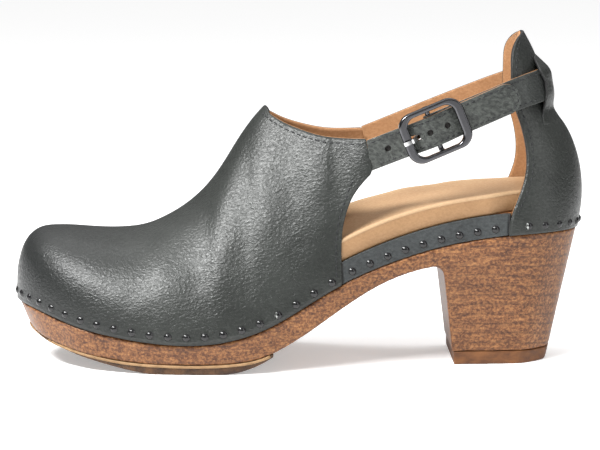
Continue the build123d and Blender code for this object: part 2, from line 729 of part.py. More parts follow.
# ---------------------------------------------------------------- the buckle
with BuildPart() as buckle_frame:
    with BuildSketch(FLATWISE.offset(BUCKLE_UNDER)):
        RectangleRounded(BUCKLE_LENGTH, BUCKLE_HEIGHT, BUCKLE_CORNER)
        RectangleRounded(
            BUCKLE_LENGTH - 2 * BUCKLE_SIDE,
            BUCKLE_HEIGHT - 2 * BUCKLE_RAIL,
            BUCKLE_CORNER - BUCKLE_RAIL,
            mode=Mode.SUBTRACT,
        )
    extrude(amount=BUCKLE_THICK)
    fillet(buckle_frame.faces().sort_by(Axis((0, 0, 0), tuple(OUTWARD)))[-1].edges(), 0.9)
    with BuildSketch(EDGEWISE):
        with Locations((0, BAR_LEVEL)):
            Circle(BAR_RADIUS)
    extrude(amount=BUCKLE_HEIGHT / 2 - 0.6, both=True)
    for side in (-1, 1):
        with BuildSketch(EDGEWISE.offset(side * (BUCKLE_HEIGHT / 2 - BUCKLE_RAIL / 2 - 0.25))):
            with Locations((0, (BAR_LEVEL + BUCKLE_UNDER) / 2 + 0.1)):
                Rectangle(2 * BAR_RADIUS, BUCKLE_UNDER - BAR_LEVEL + 2.2)
        extrude(amount=0.85, both=True)

PRONG_PATH = [(-1.2, 2.35), (-5.2, 2.2), (-7.8, 3.7), (-9.0, 6.3), (-9.9, 8.6), (-11.6, 9.6), (-14.6, 9.57)]

with BuildPart() as buckle_prong:
    with BuildSketch(EDGEWISE):
        with Locations((0, BAR_LEVEL)):
            Circle(BAR_RADIUS + RUNNING_FIT + 0.95)
            Circle(BAR_RADIUS + RUNNING_FIT, mode=Mode.SUBTRACT)
    extrude(amount=1.5, both=True)
    with BuildSketch(EDGEWISE):
        with BuildLine():
            under = Spline(*moved(flat_spline(PRONG_PATH), PRONG_RADIUS, 16))
            over = Spline(*moved(flat_spline(PRONG_PATH), -PRONG_RADIUS, 16))
            Line(under @ 0, over @ 0)
            Line(under @ 1, over @ 1)
        make_face()
        with Locations((0, BAR_LEVEL)):
            Circle(BAR_RADIUS + RUNNING_FIT + 0.02, mode=Mode.SUBTRACT)
    extrude(amount=PRONG_RADIUS, both=True)

# ---------------------------------------------------------------- the nails
DOME_DEPTH = NAIL_HEAD_RISE - 0.1
DOME_RADIUS = (NAIL_HEAD_RADIUS**2 + DOME_DEPTH**2) / (2 * DOME_DEPTH)

with BuildPart() as nail:
    with BuildSketch(Plane.XZ):
        with BuildLine():
            dome = RadiusArc((0, NAIL_HEAD_RISE), (NAIL_HEAD_RADIUS, 0.1), DOME_RADIUS)
            Polyline(
                dome @ 1,
                (NAIL_HEAD_RADIUS, -0.15),
                (NAIL_SHANK_RADIUS, -0.15),
                (NAIL_SHANK_RADIUS, 1.5 - NAIL_LENGTH),
                (0, -NAIL_LENGTH),
                dome @ 0,
            )
        make_face()
    revolve(axis=Axis.Z)


def nail_row(edge, first, last, inset):
    """Nails at an even pitch along part of a flat edge, pointing inwards; first and last are lengths."""
    count = max(1, round((last - first) / NAIL_PITCH))
    with BuildPart() as row:
        for i in range(count + 1):
            share = (first + (last - first) * i / count) / edge.length
            place, direction = edge @ share, edge % share
            inward = Vector(-direction.Y, direction.X, 0)
            at = Vector(place.X, place.Y, feather(place.X) + NAIL_RISE) + inward * inset
            with Locations(Plane(origin=at, z_dir=inward * -1)):
                add(nail.part)
    return row.part


def length_at(edge, x, medial, count=2000):
    """Length along the outline at which it passes x on the medial or the lateral side."""
    best = (1e9, 0)
    for i in range(count):
        place = edge @ (i / count)
        if (place.Y > 0) == medial:
            best = min(best, (abs(place.X - x), edge.length * i / count))
    return best[1]


VAMP_FIRST = length_at(OUTLINE, -73.5, True)
VAMP_LAST = length_at(OUTLINE, -73.5, False)
RAND_NAIL_FRONT = -64.5
RAND_NAIL_BACK = -3.0

with BuildPart() as vamp_nails:
    add(nail_row(OUTLINE, VAMP_FIRST, VAMP_LAST, 0.1))

with BuildPart() as rand_nails_medial:
    first = length_at(OUTLINE, RAND_NAIL_BACK, True)
    last = length_at(OUTLINE, RAND_NAIL_FRONT, True)
    add(nail_row(OUTLINE, first, last, RAND_OUTER_INSET))

with BuildPart() as rand_nails_lateral:
    first = length_at(OUTLINE, RAND_NAIL_FRONT, False)
    last = length_at(OUTLINE, RAND_NAIL_BACK, False)
    add(nail_row(OUTLINE, first, last, RAND_OUTER_INSET))

COUNTER_LINE = flat_spline(heel_ring(61.3), closed=True)
COUNTER_TURNS = [-76, -62, -48, -34, -20, -7, 7, 20, 34, 48, 62, 76]

with BuildPart() as counter_nails:
    for turn in COUNTER_TURNS:
        share = (turn % 360) / 360
        place, direction = COUNTER_LINE @ share, COUNTER_LINE % share
        inward = Vector(-direction.Y, direction.X, 0)
        with Locations(Plane(origin=Vector(place.X, place.Y, 61.3) + inward * 0.1, z_dir=inward * -1)):
            add(nail.part)

# ---------------------------------------------------------------- the files
os.makedirs("parts", exist_ok=True)

wood_sole.part.label = "wood_sole"
export_step(wood_sole.part, "parts/wood_sole.step")

forefoot_tread.part.label = "forefoot_tread"
export_step(forefoot_tread.part, "parts/forefoot_tread.step")

heel_lift.part.label = "heel_lift"
export_step(heel_lift.part, "parts/heel_lift.step")

rand_lateral.part.label = "rand_lateral"
export_step(rand_lateral.part, "parts/rand_lateral.step")

rand_medial.part.label = "rand_medial"
export_step(rand_medial.part, "parts/rand_medial.step")

footbed_core.part.label = "footbed_core"
export_step(footbed_core.part, "parts/footbed_core.step")

footbed_cover.part.label = "footbed_cover"
export_step(footbed_cover.part, "parts/footbed_cover.step")

vamp_outer.part.label = "vamp_outer"
export_step(vamp_outer.part, "parts/vamp_outer.step")

vamp_lining.part.label = "vamp_lining"
export_step(vamp_lining.part, "parts/vamp_lining.step")

toe_stiffener.part.label = "toe_stiffener"
export_step(toe_stiffener.part, "parts/toe_stiffener.step")

counter_outer.part.label = "counter_outer"
export_step(counter_outer.part, "parts/counter_outer.step")

counter_lining.part.label = "counter_lining"
export_step(counter_lining.part, "parts/counter_lining.step")

heel_stiffener.part.label = "heel_stiffener"
export_step(heel_stiffener.part, "parts/heel_stiffener.step")

strap_sleeve.part.label = "strap_sleeve"
export_step(strap_sleeve.part, "parts/strap_sleeve.step")

heel_strap.part.label = "heel_strap"
export_step(heel_strap.part, "parts/heel_strap.step")

heel_strap_lining.part.label = "heel_strap_lining"
export_step(heel_strap_lining.part, "parts/heel_strap_lining.step")

tip_strap.part.label = "tip_strap"
export_step(tip_strap.part, "parts/tip_strap.step")

tip_strap_lining.part.label = "tip_strap_lining"
export_step(tip_strap_lining.part, "parts/tip_strap_lining.step")

buckle_frame.part.label = "buckle_frame"
export_step(buckle_frame.part, "parts/buckle_frame.step")

buckle_prong.part.label = "buckle_prong"
export_step(buckle_prong.part, "parts/buckle_prong.step")

vamp_nails.part.label = "vamp_nails"
export_step(vamp_nails.part, "parts/vamp_nails.step")

counter_nails.part.label = "counter_nails"
export_step(counter_nails.part, "parts/counter_nails.step")

rand_nails_lateral.part.label = "rand_nails_lateral"
export_step(rand_nails_lateral.part, "parts/rand_nails_lateral.step")

rand_nails_medial.part.label = "rand_nails_medial"
export_step(rand_nails_medial.part, "parts/rand_nails_medial.step")
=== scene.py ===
import json
import math

import bpy
import numpy as np
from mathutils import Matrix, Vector

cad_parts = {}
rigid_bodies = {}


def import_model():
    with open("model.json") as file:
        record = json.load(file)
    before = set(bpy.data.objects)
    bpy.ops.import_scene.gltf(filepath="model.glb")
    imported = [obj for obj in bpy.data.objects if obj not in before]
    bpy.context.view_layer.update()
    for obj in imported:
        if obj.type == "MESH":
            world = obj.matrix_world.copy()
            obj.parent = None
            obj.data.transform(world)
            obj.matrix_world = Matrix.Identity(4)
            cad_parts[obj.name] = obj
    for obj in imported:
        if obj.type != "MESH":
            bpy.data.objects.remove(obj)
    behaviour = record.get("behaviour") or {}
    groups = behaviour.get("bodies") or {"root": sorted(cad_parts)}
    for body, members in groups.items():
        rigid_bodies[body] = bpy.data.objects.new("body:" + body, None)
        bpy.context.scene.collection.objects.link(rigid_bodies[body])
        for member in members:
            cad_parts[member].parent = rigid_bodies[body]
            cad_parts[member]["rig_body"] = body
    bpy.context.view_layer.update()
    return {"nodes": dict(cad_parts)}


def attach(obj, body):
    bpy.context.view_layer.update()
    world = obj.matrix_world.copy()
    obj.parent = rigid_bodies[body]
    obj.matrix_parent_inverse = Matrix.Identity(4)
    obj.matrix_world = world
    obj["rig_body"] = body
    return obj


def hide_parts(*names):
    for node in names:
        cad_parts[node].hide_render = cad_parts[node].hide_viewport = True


# Left wooden clog. Lengths are millimetres in the CAD part's own frame, and raw_mesh() turns them into metres.
# Lights, camera and the world are placed in metres.
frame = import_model()
MM = 0.001

# ------------------------------------------------------------------ curves shared with the CAD part
OUTLINE_POINTS = [
    (35.8, 0), (31.4, 15.6), (20.5, 26.4), (3, 31), (-20, 30.5), (-42, 30), (-62, 31.5), (-84, 36),
    (-106, 41.5), (-128, 45.5), (-150, 46), (-172, 42.5), (-190, 35), (-203, 23.5), (-211.5, 4),
    (-204, -18), (-191, -31.5), (-172, -41.5), (-150, -47), (-128, -49), (-106, -47.5), (-84, -43),
    (-62, -37.8), (-42, -34), (-20, -31.5), (3, -31), (20.5, -26.4), (31.4, -15.6)]
FEATHER_POINTS = [
    (-216, 27), (-202, 24.8), (-184, 19.6), (-164, 15.6), (-138, 13.1), (-120, 14.4), (-100, 20.6),
    (-75, 34.6), (-50, 45.5), (-25, 52.8), (0, 57), (42, 58.4)]
RIDGE_POINTS = [
    (-211.5, 33), (-211.1, 40), (-210, 45), (-208, 50.3), (-205, 54.3), (-201, 56.9), (-195, 57.9),
    (-187, 57.8), (-175, 57), (-163, 57.1), (-154, 58.6), (-146, 61.9), (-138, 66.7), (-130, 73.4),
    (-122, 83.2), (-114, 96), (-106, 107), (-98, 115), (-88, 122), (-76, 127.3), (-62, 130.5), (-48, 132)]
CREST_Y = [(-211, 4), (-150, 1.5), (-110, 0)]
CROWN_POWER = [(-211, 2.7), (-150, 2.3), (-120, 2.8), (-100, 3.0), (-57, 3.3)]
SIDE_TAPER = [(-190, 0.0), (-150, 0.1), (-125, 0.36), (-108, 0.6), (-92, 0.66), (-74, 0.54), (-57, 0.33)]
VAMP_REAR = [(-69.4, 30), (-69.6, 48), (-69.4, 58), (-67.6, 67.5), (-63.6, 76.6), (-57, 84)]
SEAM_TOP = (-59.2, 98.9)
VAMP_TOPLINE = [(-59.2, 98.9), (-68, 98.9), (-77, 99.6), (-86, 101.8), (-95, 105.2), (-103.5, 110.4)]
BACK_X = [(50, 34.6), (58, 35.7), (66, 36.9), (80, 36.8), (92, 34.1), (104, 28.0), (108, 24.6), (112, 21.6),
          (119, 19.9), (127, 18.2), (135, 15.2), (148, 8.0)]
HEEL_HALF = [(50, 31), (58, 31), (66, 30.2), (80, 27.8), (92, 25.4), (104, 23.4), (112, 22.2), (119, 21.4),
             (127, 20.6), (135, 19.8), (148, 18)]
HEEL_CENTRE_X = [(50, 4), (80, 3), (104, 1), (127, -2), (148, -8)]
COUNTER_FRONT = [(2.8, 52), (3.2, 64), (6.6, 73), (10.2, 84), (10.2, 95), (7.6, 106), (4.6, 116),
                 (4.2, 128), (5.2, 137), (9.4, 143.4)]
SLEEVE_BULGE = [(104, 0.2), (107, 0.7), (110, 1.6), (113, 3.2), (116, 4.2), (122, 4.3), (127, 4.2),
                (130, 2.4), (133, 0.3)]
STRAP_CENTRE = [(-75, 84.6), (-58, 91.6), (-30.3, 103.0), (-10, 111.3), (3, 116.4), (13, 119.7), (24, 121.6),
                (60, 121.8)]
LATERAL_RUN = [(-75, -30.8), (-56, -29.0), (-42, -27.6), (-30.3, -26.6), (-19, -25.6), (-9, -24.2)]
MEDIAL_RUN = [(-9, 22.8), (-22, 23.6), (-40, 24.4), (-56, 25.0), (-75, 25.6)]
FOOTBED_TOP = [(-232, 40), (-206, 38.5), (-190, 34.5), (-170, 30.5), (-150, 28), (-130, 28.6), (-112, 34),
               (-95, 43), (-80, 51.2), (-67.4, 57.9), (-52.6, 64.2), (-36, 69.3), (-19.4, 72.8), (2.5, 75.8),
               (22, 77), (60, 77)]
LEATHER = 1.5  # outer leather of the vamp and the counter
GLUE = 0.1  # gap between two layers
UPPER = 2.9  # whole upper, outside to inside
LINING = UPPER - LEATHER - GLUE
SLEEVE_THICK = 1.2


def cubic(points, count=600, closed=False):
    """A smooth curve with continuous curvature through points, sampled evenly by chord length."""
    p = np.array(points, float)
    if closed:
        p = np.vstack([p, p[:1]])
    h = np.linalg.norm(np.diff(p, axis=0), axis=1)
    n = len(p)
    a, b = np.zeros((n, n)), np.zeros((n, p.shape[1]))
    for i in range(1, n - 1):
        a[i, i - 1 : i + 2] = h[i - 1], 2 * (h[i - 1] + h[i]), h[i]
        b[i] = 6 * ((p[i + 1] - p[i]) / h[i] - (p[i] - p[i - 1]) / h[i - 1])
    if closed:
        a[0, 0], a[0, 1], a[0, n - 2] = 2 * (h[-1] + h[0]), h[0], h[-1]
        b[0] = 6 * ((p[1] - p[0]) / h[0] - (p[0] - p[n - 2]) / h[-1])
        a[-1, 0], a[-1, -1] = 1, -1
    else:
        a[0, 0] = a[-1, -1] = 1
    m = np.linalg.solve(a, b)
    u = np.concatenate([[0], np.cumsum(h)])
    t = np.linspace(0, u[-1], count + 1)
    k = np.clip(np.searchsorted(u, t, side="right") - 1, 0, n - 2)
    left, right, step = (t - u[k])[:, None], (u[k + 1] - t)[:, None], h[k][:, None]
    return (
        m[k] * right**3 / (6 * step) + m[k + 1] * left**3 / (6 * step)
        + (p[k] / step - m[k] * step / 6) * right + (p[k + 1] / step - m[k + 1] * step / 6) * left
    )


def moved(curve, inset):
    """The curve shifted to its left by inset."""
    d = np.gradient(curve, axis=0)
    d /= np.linalg.norm(d, axis=1)[:, None] + 1e-12
    return curve + inset * np.stack([-d[:, 1], d[:, 0]], axis=1)


def graph(curve):
    """A function of x read off a sampled curve."""
    order = np.argsort(curve[:, 0], kind="stable")
    xs, ys = curve[order, 0], curve[order, 1]
    return lambda x: np.interp(x, xs, ys)


def knots(table):
    """A function of x with straight lines between the table's rows."""
    xs, ys = zip(*table)
    return lambda x: np.interp(x, xs, ys)


def eased(table):
    """A function of x that eases in and out between the table's rows."""
    xs, ys = (np.array(v, float) for v in zip(*table))

    def at(x):
        k = np.clip(np.searchsorted(xs, x, side="right") - 1, 0, len(xs) - 2)
        t = np.clip((x - xs[k]) / (xs[k + 1] - xs[k]), 0, 1)
        return ys[k] + (ys[k + 1] - ys[k]) * t * t * (3 - 2 * t)

    return at


OUTLINE = cubic(OUTLINE_POINTS, 2400, closed=True)
feather = graph(cubic(FEATHER_POINTS))
RIDGE = cubic(RIDGE_POINTS, 1200)
crest_y, crown_power, side_taper = knots(CREST_Y), knots(CROWN_POWER), eased(SIDE_TAPER)
footbed_top = graph(cubic(FOOTBED_TOP))
back_x, heel_half, heel_centre = (graph(cubic(t)) for t in (BACK_X, HEEL_HALF, HEEL_CENTRE_X))
front_at = graph(cubic(COUNTER_FRONT)[:, ::-1])
strap_centre = graph(cubic(STRAP_CENTRE))
topline = graph(cubic(VAMP_TOPLINE))
TOE_X = OUTLINE[:, 0].min()
HEEL_X = OUTLINE[:, 0].max()
cache = {}


def ridge(x, inset=0.0):
    """Level of the forepart's top at x."""
    if ("r", inset) not in cache:
        cache["r", inset] = graph(moved(RIDGE, -inset))
    return cache["r", inset](x)


def walls(x, inset=0.0):
    """The outline's lateral and medial y at x."""
    if ("w", inset) not in cache:
        loop = moved(OUTLINE, inset)
        toe = int(loop[:, 0].argmin())
        cache["w", inset] = graph(loop[toe:]), graph(loop[: toe + 1])
    x = np.clip(x, TOE_X + inset + 0.02, HEEL_X - inset - 0.02)
    lateral, medial = cache["w", inset]
    return lateral(x), medial(x)


def arch(x, side, rise, inset=0.0):
    """The forepart's surface at x: side is -1 for the lateral half and +1 for the medial one."""
    lateral, medial = walls(x, inset)
    crest, low, high = crest_y(x), feather(x), ridge(x, inset)
    wall = np.where(side < 0, lateral, medial)
    share = np.sqrt(np.clip(1 - rise ** crown_power(x), 0, 1)) * (1 - side_taper(x) * rise**1.25)
    return np.stack(np.broadcast_arrays(x, crest + (wall - crest) * share, low + (high - low) * rise), axis=-1)


# ------------------------------------------------------------------ meshes
def link(obj, body="shoe"):
    bpy.context.scene.collection.objects.link(obj)
    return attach(obj, body) if body else obj


def raw_mesh(name, points, faces, mats, body="shoe", smooth=True, index=None):
    mesh = bpy.data.meshes.new(name)
    mesh.from_pydata((np.asarray(points) * MM).tolist(), [], [tuple(f) for f in faces])
    for m in mats if isinstance(mats, (list, tuple)) else [mats]:
        mesh.materials.append(m)
    if index is not None:
        mesh.polygons.foreach_set("material_index", index)
    if smooth:
        mesh.shade_smooth()
    mesh.update()
    return link(bpy.data.objects.new(name, mesh), body)


def grid_faces(rows, cols, start=0, wrap=False, flip=False):
    faces = []
    for i in range(rows - 1):
        for j in range(cols if wrap else cols - 1):
            k = (j + 1) % cols
            quad = (start + i * cols + j, start + i * cols + k, start + (i + 1) * cols + k, start + (i + 1) * cols + j)
            faces.append(quad[::-1] if flip else quad)
    return faces


def weld(obj, distance):
    mod = obj.modifiers.new("weld", "WELD")
    mod.merge_threshold = distance * MM


def thicken(obj, depth, rim=0):
    """Gives a sheet its depth inwards; rim is how many slots on the cut edge's material lies."""
    mod = obj.modifiers.new("thick", "SOLIDIFY")
    mod.thickness, mod.offset, mod.use_even_offset = depth * MM, -1, False
    mod.material_offset_rim = rim


SMOOTH_FACTOR = 0.5


def from_cad(node, voxel, rounds, mat):
    """A smooth, evenly meshed copy of a CAD solid with softly rounded edges, standing for that solid."""
    source = frame["nodes"][node]
    obj = bpy.data.objects.new(node + "_made", source.data.copy())
    obj.data.materials.clear()
    obj.data.materials.append(mat)
    bpy.context.scene.collection.objects.link(obj)
    remesh = obj.modifiers.new("even", "REMESH")
    remesh.mode, remesh.voxel_size, remesh.use_smooth_shade = "VOXEL", voxel * MM, True
    soften = obj.modifiers.new("soften", "SMOOTH")
    soften.factor, soften.iterations = SMOOTH_FACTOR, rounds
    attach(obj, source["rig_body"])
    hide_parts(node)
    return obj


# ------------------------------------------------------------------ materials
def links_of(mat):
    return mat.node_tree.nodes, mat.node_tree.links


def ramp_node(nodes, stops):
    node = nodes.new("ShaderNodeValToRGB")
    while len(node.color_ramp.elements) > 1:
        node.color_ramp.elements.remove(node.color_ramp.elements[-1])
    for i, (place, color) in enumerate(stops):
        e = node.color_ramp.elements[0] if i == 0 else node.color_ramp.elements.new(place)
        e.position = place
        e.color = (*color, 1) if len(color) == 3 else color
    return node


def texture(mat, kind, scale, stretch=(1, 1, 1), detail=3.0, rough=0.55, turn=(0, 0, 0), distort=0.0):
    """A 3D texture in object space: kind is noise, cells or rings, and scale is its feature size in millimetres."""
    nodes, links = links_of(mat)
    where = nodes.get("where") or nodes.new("ShaderNodeTexCoord")
    where.name = "where"
    mapping = nodes.new("ShaderNodeMapping")
    mapping.inputs["Scale"].default_value = [1000 / scale * s for s in stretch]
    mapping.inputs["Rotation"].default_value = turn
    links.new(where.outputs["Object"], mapping.inputs["Vector"])
    if kind == "noise":
        node = nodes.new("ShaderNodeTexNoise")
        node.inputs["Scale"].default_value = 1
        node.inputs["Detail"].default_value = detail
        node.inputs["Roughness"].default_value = rough
        node.inputs["Distortion"].default_value = distort
        out = node.outputs["Fac"]
    elif kind == "cells":
        node = nodes.new("ShaderNodeTexVoronoi")
        node.feature = "SMOOTH_F1"
        node.inputs["Scale"].default_value = 1
        node.inputs["Smoothness"].default_value = 0.6
        out = node.outputs["Distance"]
    else:
        node = nodes.new("ShaderNodeTexWave")
        node.wave_type = "RINGS"
        node.inputs["Scale"].default_value = 1
        node.inputs["Distortion"].default_value = distort
        node.inputs["Detail"].default_value = detail
        node.inputs["Detail Scale"].default_value = 1.2
        out = node.outputs["Fac"]
    links.new(mapping.outputs["Vector"], node.inputs["Vector"])
    return node, out


def base_material(name, color, rough, metallic=0.0, specular=0.5):
    mat = bpy.data.materials.new(name)
    mat.use_nodes = True
    shader = mat.node_tree.nodes["Principled BSDF"]
    shader.inputs["Base Color"].default_value = (*color, 1)
    shader.inputs["Roughness"].default_value = rough
    shader.inputs["Metallic"].default_value = metallic
    shader.inputs["Specular IOR Level"].default_value = specular
    return mat


def mix_colors(mat, fac, a, b, mode="MIX"):
    nodes, links = links_of(mat)
    node = nodes.new("ShaderNodeMix")
    node.data_type, node.blend_type = "RGBA", mode
    for socket, value in ((node.inputs[0], fac), (node.inputs[6], a), (node.inputs[7], b)):
        if isinstance(value, bpy.types.NodeSocket):
            links.new(value, socket)
        elif isinstance(value, (int, float)):
            socket.default_value = value
        else:
            socket.default_value = (*value, 1)
    return node.outputs[2]


def remap(mat, value, low, high, to_low, to_high):
    nodes, links = links_of(mat)
    node = nodes.new("ShaderNodeMapRange")
    links.new(value, node.inputs["Value"])
    for key, v in (("From Min", low), ("From Max", high), ("To Min", to_low), ("To Max", to_high)):
        node.inputs[key].default_value = v
    return node.outputs["Result"]


def axis_value(mat, axis):
    """Object-space X, Y or Z in millimetres."""
    nodes, links = links_of(mat)
    where = nodes.get("where") or nodes.new("ShaderNodeTexCoord")
    where.name = "where"
    split = nodes.new("ShaderNodeSeparateXYZ")
    links.new(where.outputs["Object"], split.inputs[0])
    scale = nodes.new("ShaderNodeMath")
    scale.operation = "MULTIPLY"
    scale.inputs[1].default_value = 1000
    links.new(split.outputs["XYZ".index(axis)], scale.inputs[0])
    return scale.outputs[0]


def set_color(mat, socket):
    nodes, links = links_of(mat)
    links.new(socket, nodes["Principled BSDF"].inputs["Base Color"])


def set_rough(mat, socket):
    nodes, links = links_of(mat)
    links.new(socket, nodes["Principled BSDF"].inputs["Roughness"])


def add_bumps(mat, bumps):
    """Bumps are (height socket, strength, height in millimetres)."""
    nodes, links = links_of(mat)
    last = None
    for height, strength, depth in bumps:
        node = nodes.new("ShaderNodeBump")
        node.inputs["Strength"].default_value = strength
        node.inputs["Distance"].default_value = depth * MM
        links.new(height, node.inputs["Height"])
        if last is not None:
            links.new(last, node.inputs["Normal"])
        last = node.outputs["Normal"]
    links.new(last, nodes["Principled BSDF"].inputs["Normal"])


def leather(name, dark, light, rough=(0.36, 0.52), grain=1.3, depth=0.3, metallic=0.0, toe=None, creases=0.12,
            contrast=0.5):
    mat = base_material(name, light, rough[0], metallic, 0.42)
    _, cloud = texture(mat, "noise", 22, (1, 1, 1.3), 4)
    _, pebble = texture(mat, "noise", grain, (0.75, 1, 1.1), 2.5, 0.6, (0, 0.7, 0), 0.35)
    shade = ramp_node(mat.node_tree.nodes, [(0.3, dark), (0.7, light)])
    links_of(mat)[1].new(cloud, shade.inputs[0])
    color = mix_colors(mat, contrast, shade.outputs[0], fine_shade(mat, pebble, dark, light))
    if toe:
        x = axis_value(mat, "X")
        near_toe = remap(mat, x, -207, -150, 0.9, 0.0)
        color = mix_colors(mat, near_toe, color, toe)
    set_color(mat, color)
    set_rough(mat, remap(mat, pebble, 0.35, 0.65, rough[1], rough[0]))
    _, wrinkles = texture(mat, "noise", 6.5, (0.6, 1, 1.2), 4, 0.55, (0, 0.6, 0), 0.5)
    _, pores = texture(mat, "noise", 0.5, (1, 1, 1), 2)
    add_bumps(mat, [(wrinkles, creases, 0.5), (pebble, 0.9, depth), (pores, 0.3, 0.05)])
    return mat


def fine_shade(mat, fac, dark, light):
    ramp = ramp_node(mat.node_tree.nodes, [(0.35, dark), (0.65, light)])
    links_of(mat)[1].new(fac, ramp.inputs[0])
    return ramp.outputs[0]


def wood_material(name, deep, mid, pale):
    mat = base_material(name, mid, 0.42, 0, 0.4)
    nodes, links = links_of(mat)
    _, streak = texture(mat, "noise", 1.5, (0.16, 1, 1), 4, 0.65)
    _, fleck = texture(mat, "noise", 1.0, (0.75, 1, 1), 2, 0.7)
    _, broad = texture(mat, "noise", 30, (0.5, 1, 1), 3)
    ring_node, rings = texture(mat, "rings", 13.5, (0.42, 0.05, 1), 3, distort=2.2)
    ring_node.rings_direction = "Y"
    ring_map = ring_node.inputs["Vector"].links[0].from_node
    ring_map.inputs["Location"].default_value = (0.35, 0, 2.4)
    ramp = ramp_node(nodes, [(0.34, deep), (0.5, mid), (0.66, pale)])
    links.new(streak, ramp.inputs[0])
    flecks = ramp_node(nodes, [(0.40, deep), (0.5, mid), (0.62, pale)])
    links.new(fleck, flecks.inputs[0])
    color = mix_colors(mat, 0.55, ramp.outputs[0], flecks.outputs[0])
    ring_shade = ramp_node(
        nodes, [(0.0, (0.52, 0.48, 0.46)), (0.16, (0.98, 0.98, 0.98)), (1.0, (1.08, 1.07, 1.05))])
    links.new(rings, ring_shade.inputs[0])
    on_heel = remap(mat, axis_value(mat, "X"), -45, 12, 0.12, 0.75)
    color = mix_colors(mat, on_heel, color, ring_shade.outputs[0], "MULTIPLY")
    broad_shade = ramp_node(nodes, [(0.3, (0.80, 0.77, 0.74)), (0.7, (1.12, 1.10, 1.06))])
    links.new(broad, broad_shade.inputs[0])
    color = mix_colors(mat, 0.8, color, broad_shade.outputs[0], "MULTIPLY")
    set_color(mat, color)
    set_rough(mat, remap(mat, fleck, 0.3, 0.7, 0.38, 0.58))
    add_bumps(mat, [(streak, 0.25, 0.12), (fleck, 0.35, 0.1)])
    return mat


upper = leather("upper_leather", (0.009, 0.0105, 0.009), (0.030, 0.033, 0.030), (0.29, 0.43), 1.1, 0.34, 0.12,
                (0.010, 0.011, 0.011), 0.10)
strap_mat = leather("strap_leather", (0.013, 0.0145, 0.0135), (0.036, 0.040, 0.037), (0.32, 0.48), 1.3, 0.34, 0.1)
tip_mat = leather("tip_leather", (0.012, 0.0135, 0.0125), (0.062, 0.068, 0.061), (0.32, 0.5), 1.5, 0.6, 0.1,
                  None, 0.3, 0.75)
rand_mat = leather("rand_leather", (0.014, 0.016, 0.0165), (0.044, 0.050, 0.051), (0.4, 0.56), 1.3, 0.36, 0.08)
edge_mat = leather("cut_edge", (0.007, 0.007, 0.007), (0.018, 0.018, 0.018), (0.55, 0.7), 0.8, 0.1)
lining = leather("lining_leather", (0.27, 0.125, 0.050), (0.41, 0.215, 0.098), (0.55, 0.7), 1.0, 0.1, 0.0, None, 0.1)
bed_top = leather("footbed_top", (0.31, 0.185, 0.095), (0.39, 0.25, 0.135), (0.55, 0.68), 1.0, 0.08, 0.0, None, 0.1)
# The footbed's side wall is the same leather as its top, painted darker as the shade that falls on it.
bed_side_painted_shade = leather("footbed_side", (0.235, 0.13, 0.058), (0.31, 0.178, 0.084), (0.5, 0.65), 1.0, 0.1, 0.0, None, 0.15)
# The rounded bend along the footbed's rim is painted lighter as its highlight.
rim_highlight_mat = leather("footbed_crease_highlight", (0.35, 0.22, 0.115), (0.43, 0.285, 0.16), (0.5, 0.62), 0.9, 0.05)
wood = wood_material("sole_wood", (0.042, 0.0125, 0.0035), (0.138, 0.050, 0.0145), (0.315, 0.148, 0.055))
thread = base_material("thread", (0.006, 0.007, 0.008), 0.5)
nail_black = base_material("nail_black", (0.004, 0.004, 0.0045), 0.16, 0.0, 0.5)
nail_pale = base_material("nail_pale", (0.30, 0.31, 0.30), 0.34, 0.9)
gunmetal = base_material("gunmetal", (0.085, 0.085, 0.090), 0.17, 1.0, 0.6)
steel = base_material("prong_steel", (0.50, 0.50, 0.50), 0.2, 1.0, 0.6)
for metal in (gunmetal, steel, nail_pale):
    _, scuffs = texture(metal, "noise", 2.5, (1, 1, 1), 5)
    set_rough(metal, remap(metal, scuffs, 0.3, 0.7, 0.1, 0.24))
    add_bumps(metal, [(scuffs, 0.08, 0.05)])
for plain, least, most in ((nail_black, 0.14, 0.3), (thread, 0.4, 0.6)):
    _, fine = texture(plain, "noise", 0.8)
    set_rough(plain, remap(plain, fine, 0.3, 0.7, least, most))
    add_bumps(plain, [(fine, 0.1, 0.05)])
# Painted shade for the backs of the strap's punched holes.
hole_dark = leather("hole_shadow", (0.004, 0.003, 0.003), (0.010, 0.008, 0.006), (0.7, 0.8), 0.8, 0.1)


def rubber(name, dark, light, knurl):
    mat = base_material(name, light, 0.6, 0, 0.35)
    _, cloud = texture(mat, "noise", 3.0, (0.5, 1, 1), 4)
    set_color(mat, fine_shade(mat, cloud, dark, light))
    _, fine = texture(mat, "noise", 0.8, (1, 1, 1), 3)
    bumps = [(fine, 0.4, 0.12)]
    if knurl:
        _, ribs = texture(mat, "cells", 1.7, (1, 0.8, 0.6))
        bumps.append((ribs, 1.0, 0.9))
    set_rough(mat, remap(mat, cloud, 0.3, 0.7, 0.52, 0.7))
    add_bumps(mat, bumps)
    return mat


# The bead's pale colour is a painted highlight along the tread's top edge; the rubber below keeps its own dark colour.
tread_bead_highlight_mat = rubber("tread_bead", (0.20, 0.115, 0.05), (0.34, 0.21, 0.105), False)
tread_mat = rubber("tread_rubber", (0.028, 0.012, 0.005), (0.10, 0.048, 0.020), True)
lift_mat = rubber("lift_rubber", (0.080, 0.029, 0.009), (0.165, 0.066, 0.022), False)

# ------------------------------------------------------------------ sole
wood_made = from_cad("wood_sole", 0.75, 6, wood)
tread_made = from_cad("forefoot_tread", 0.6, 3, tread_mat)
lift_made = from_cad("heel_lift", 0.5, 3, lift_mat)
rand_lateral_made = from_cad("rand_lateral", 0.4, 3, rand_mat)
rand_medial_made = from_cad("rand_medial", 0.4, 3, rand_mat)

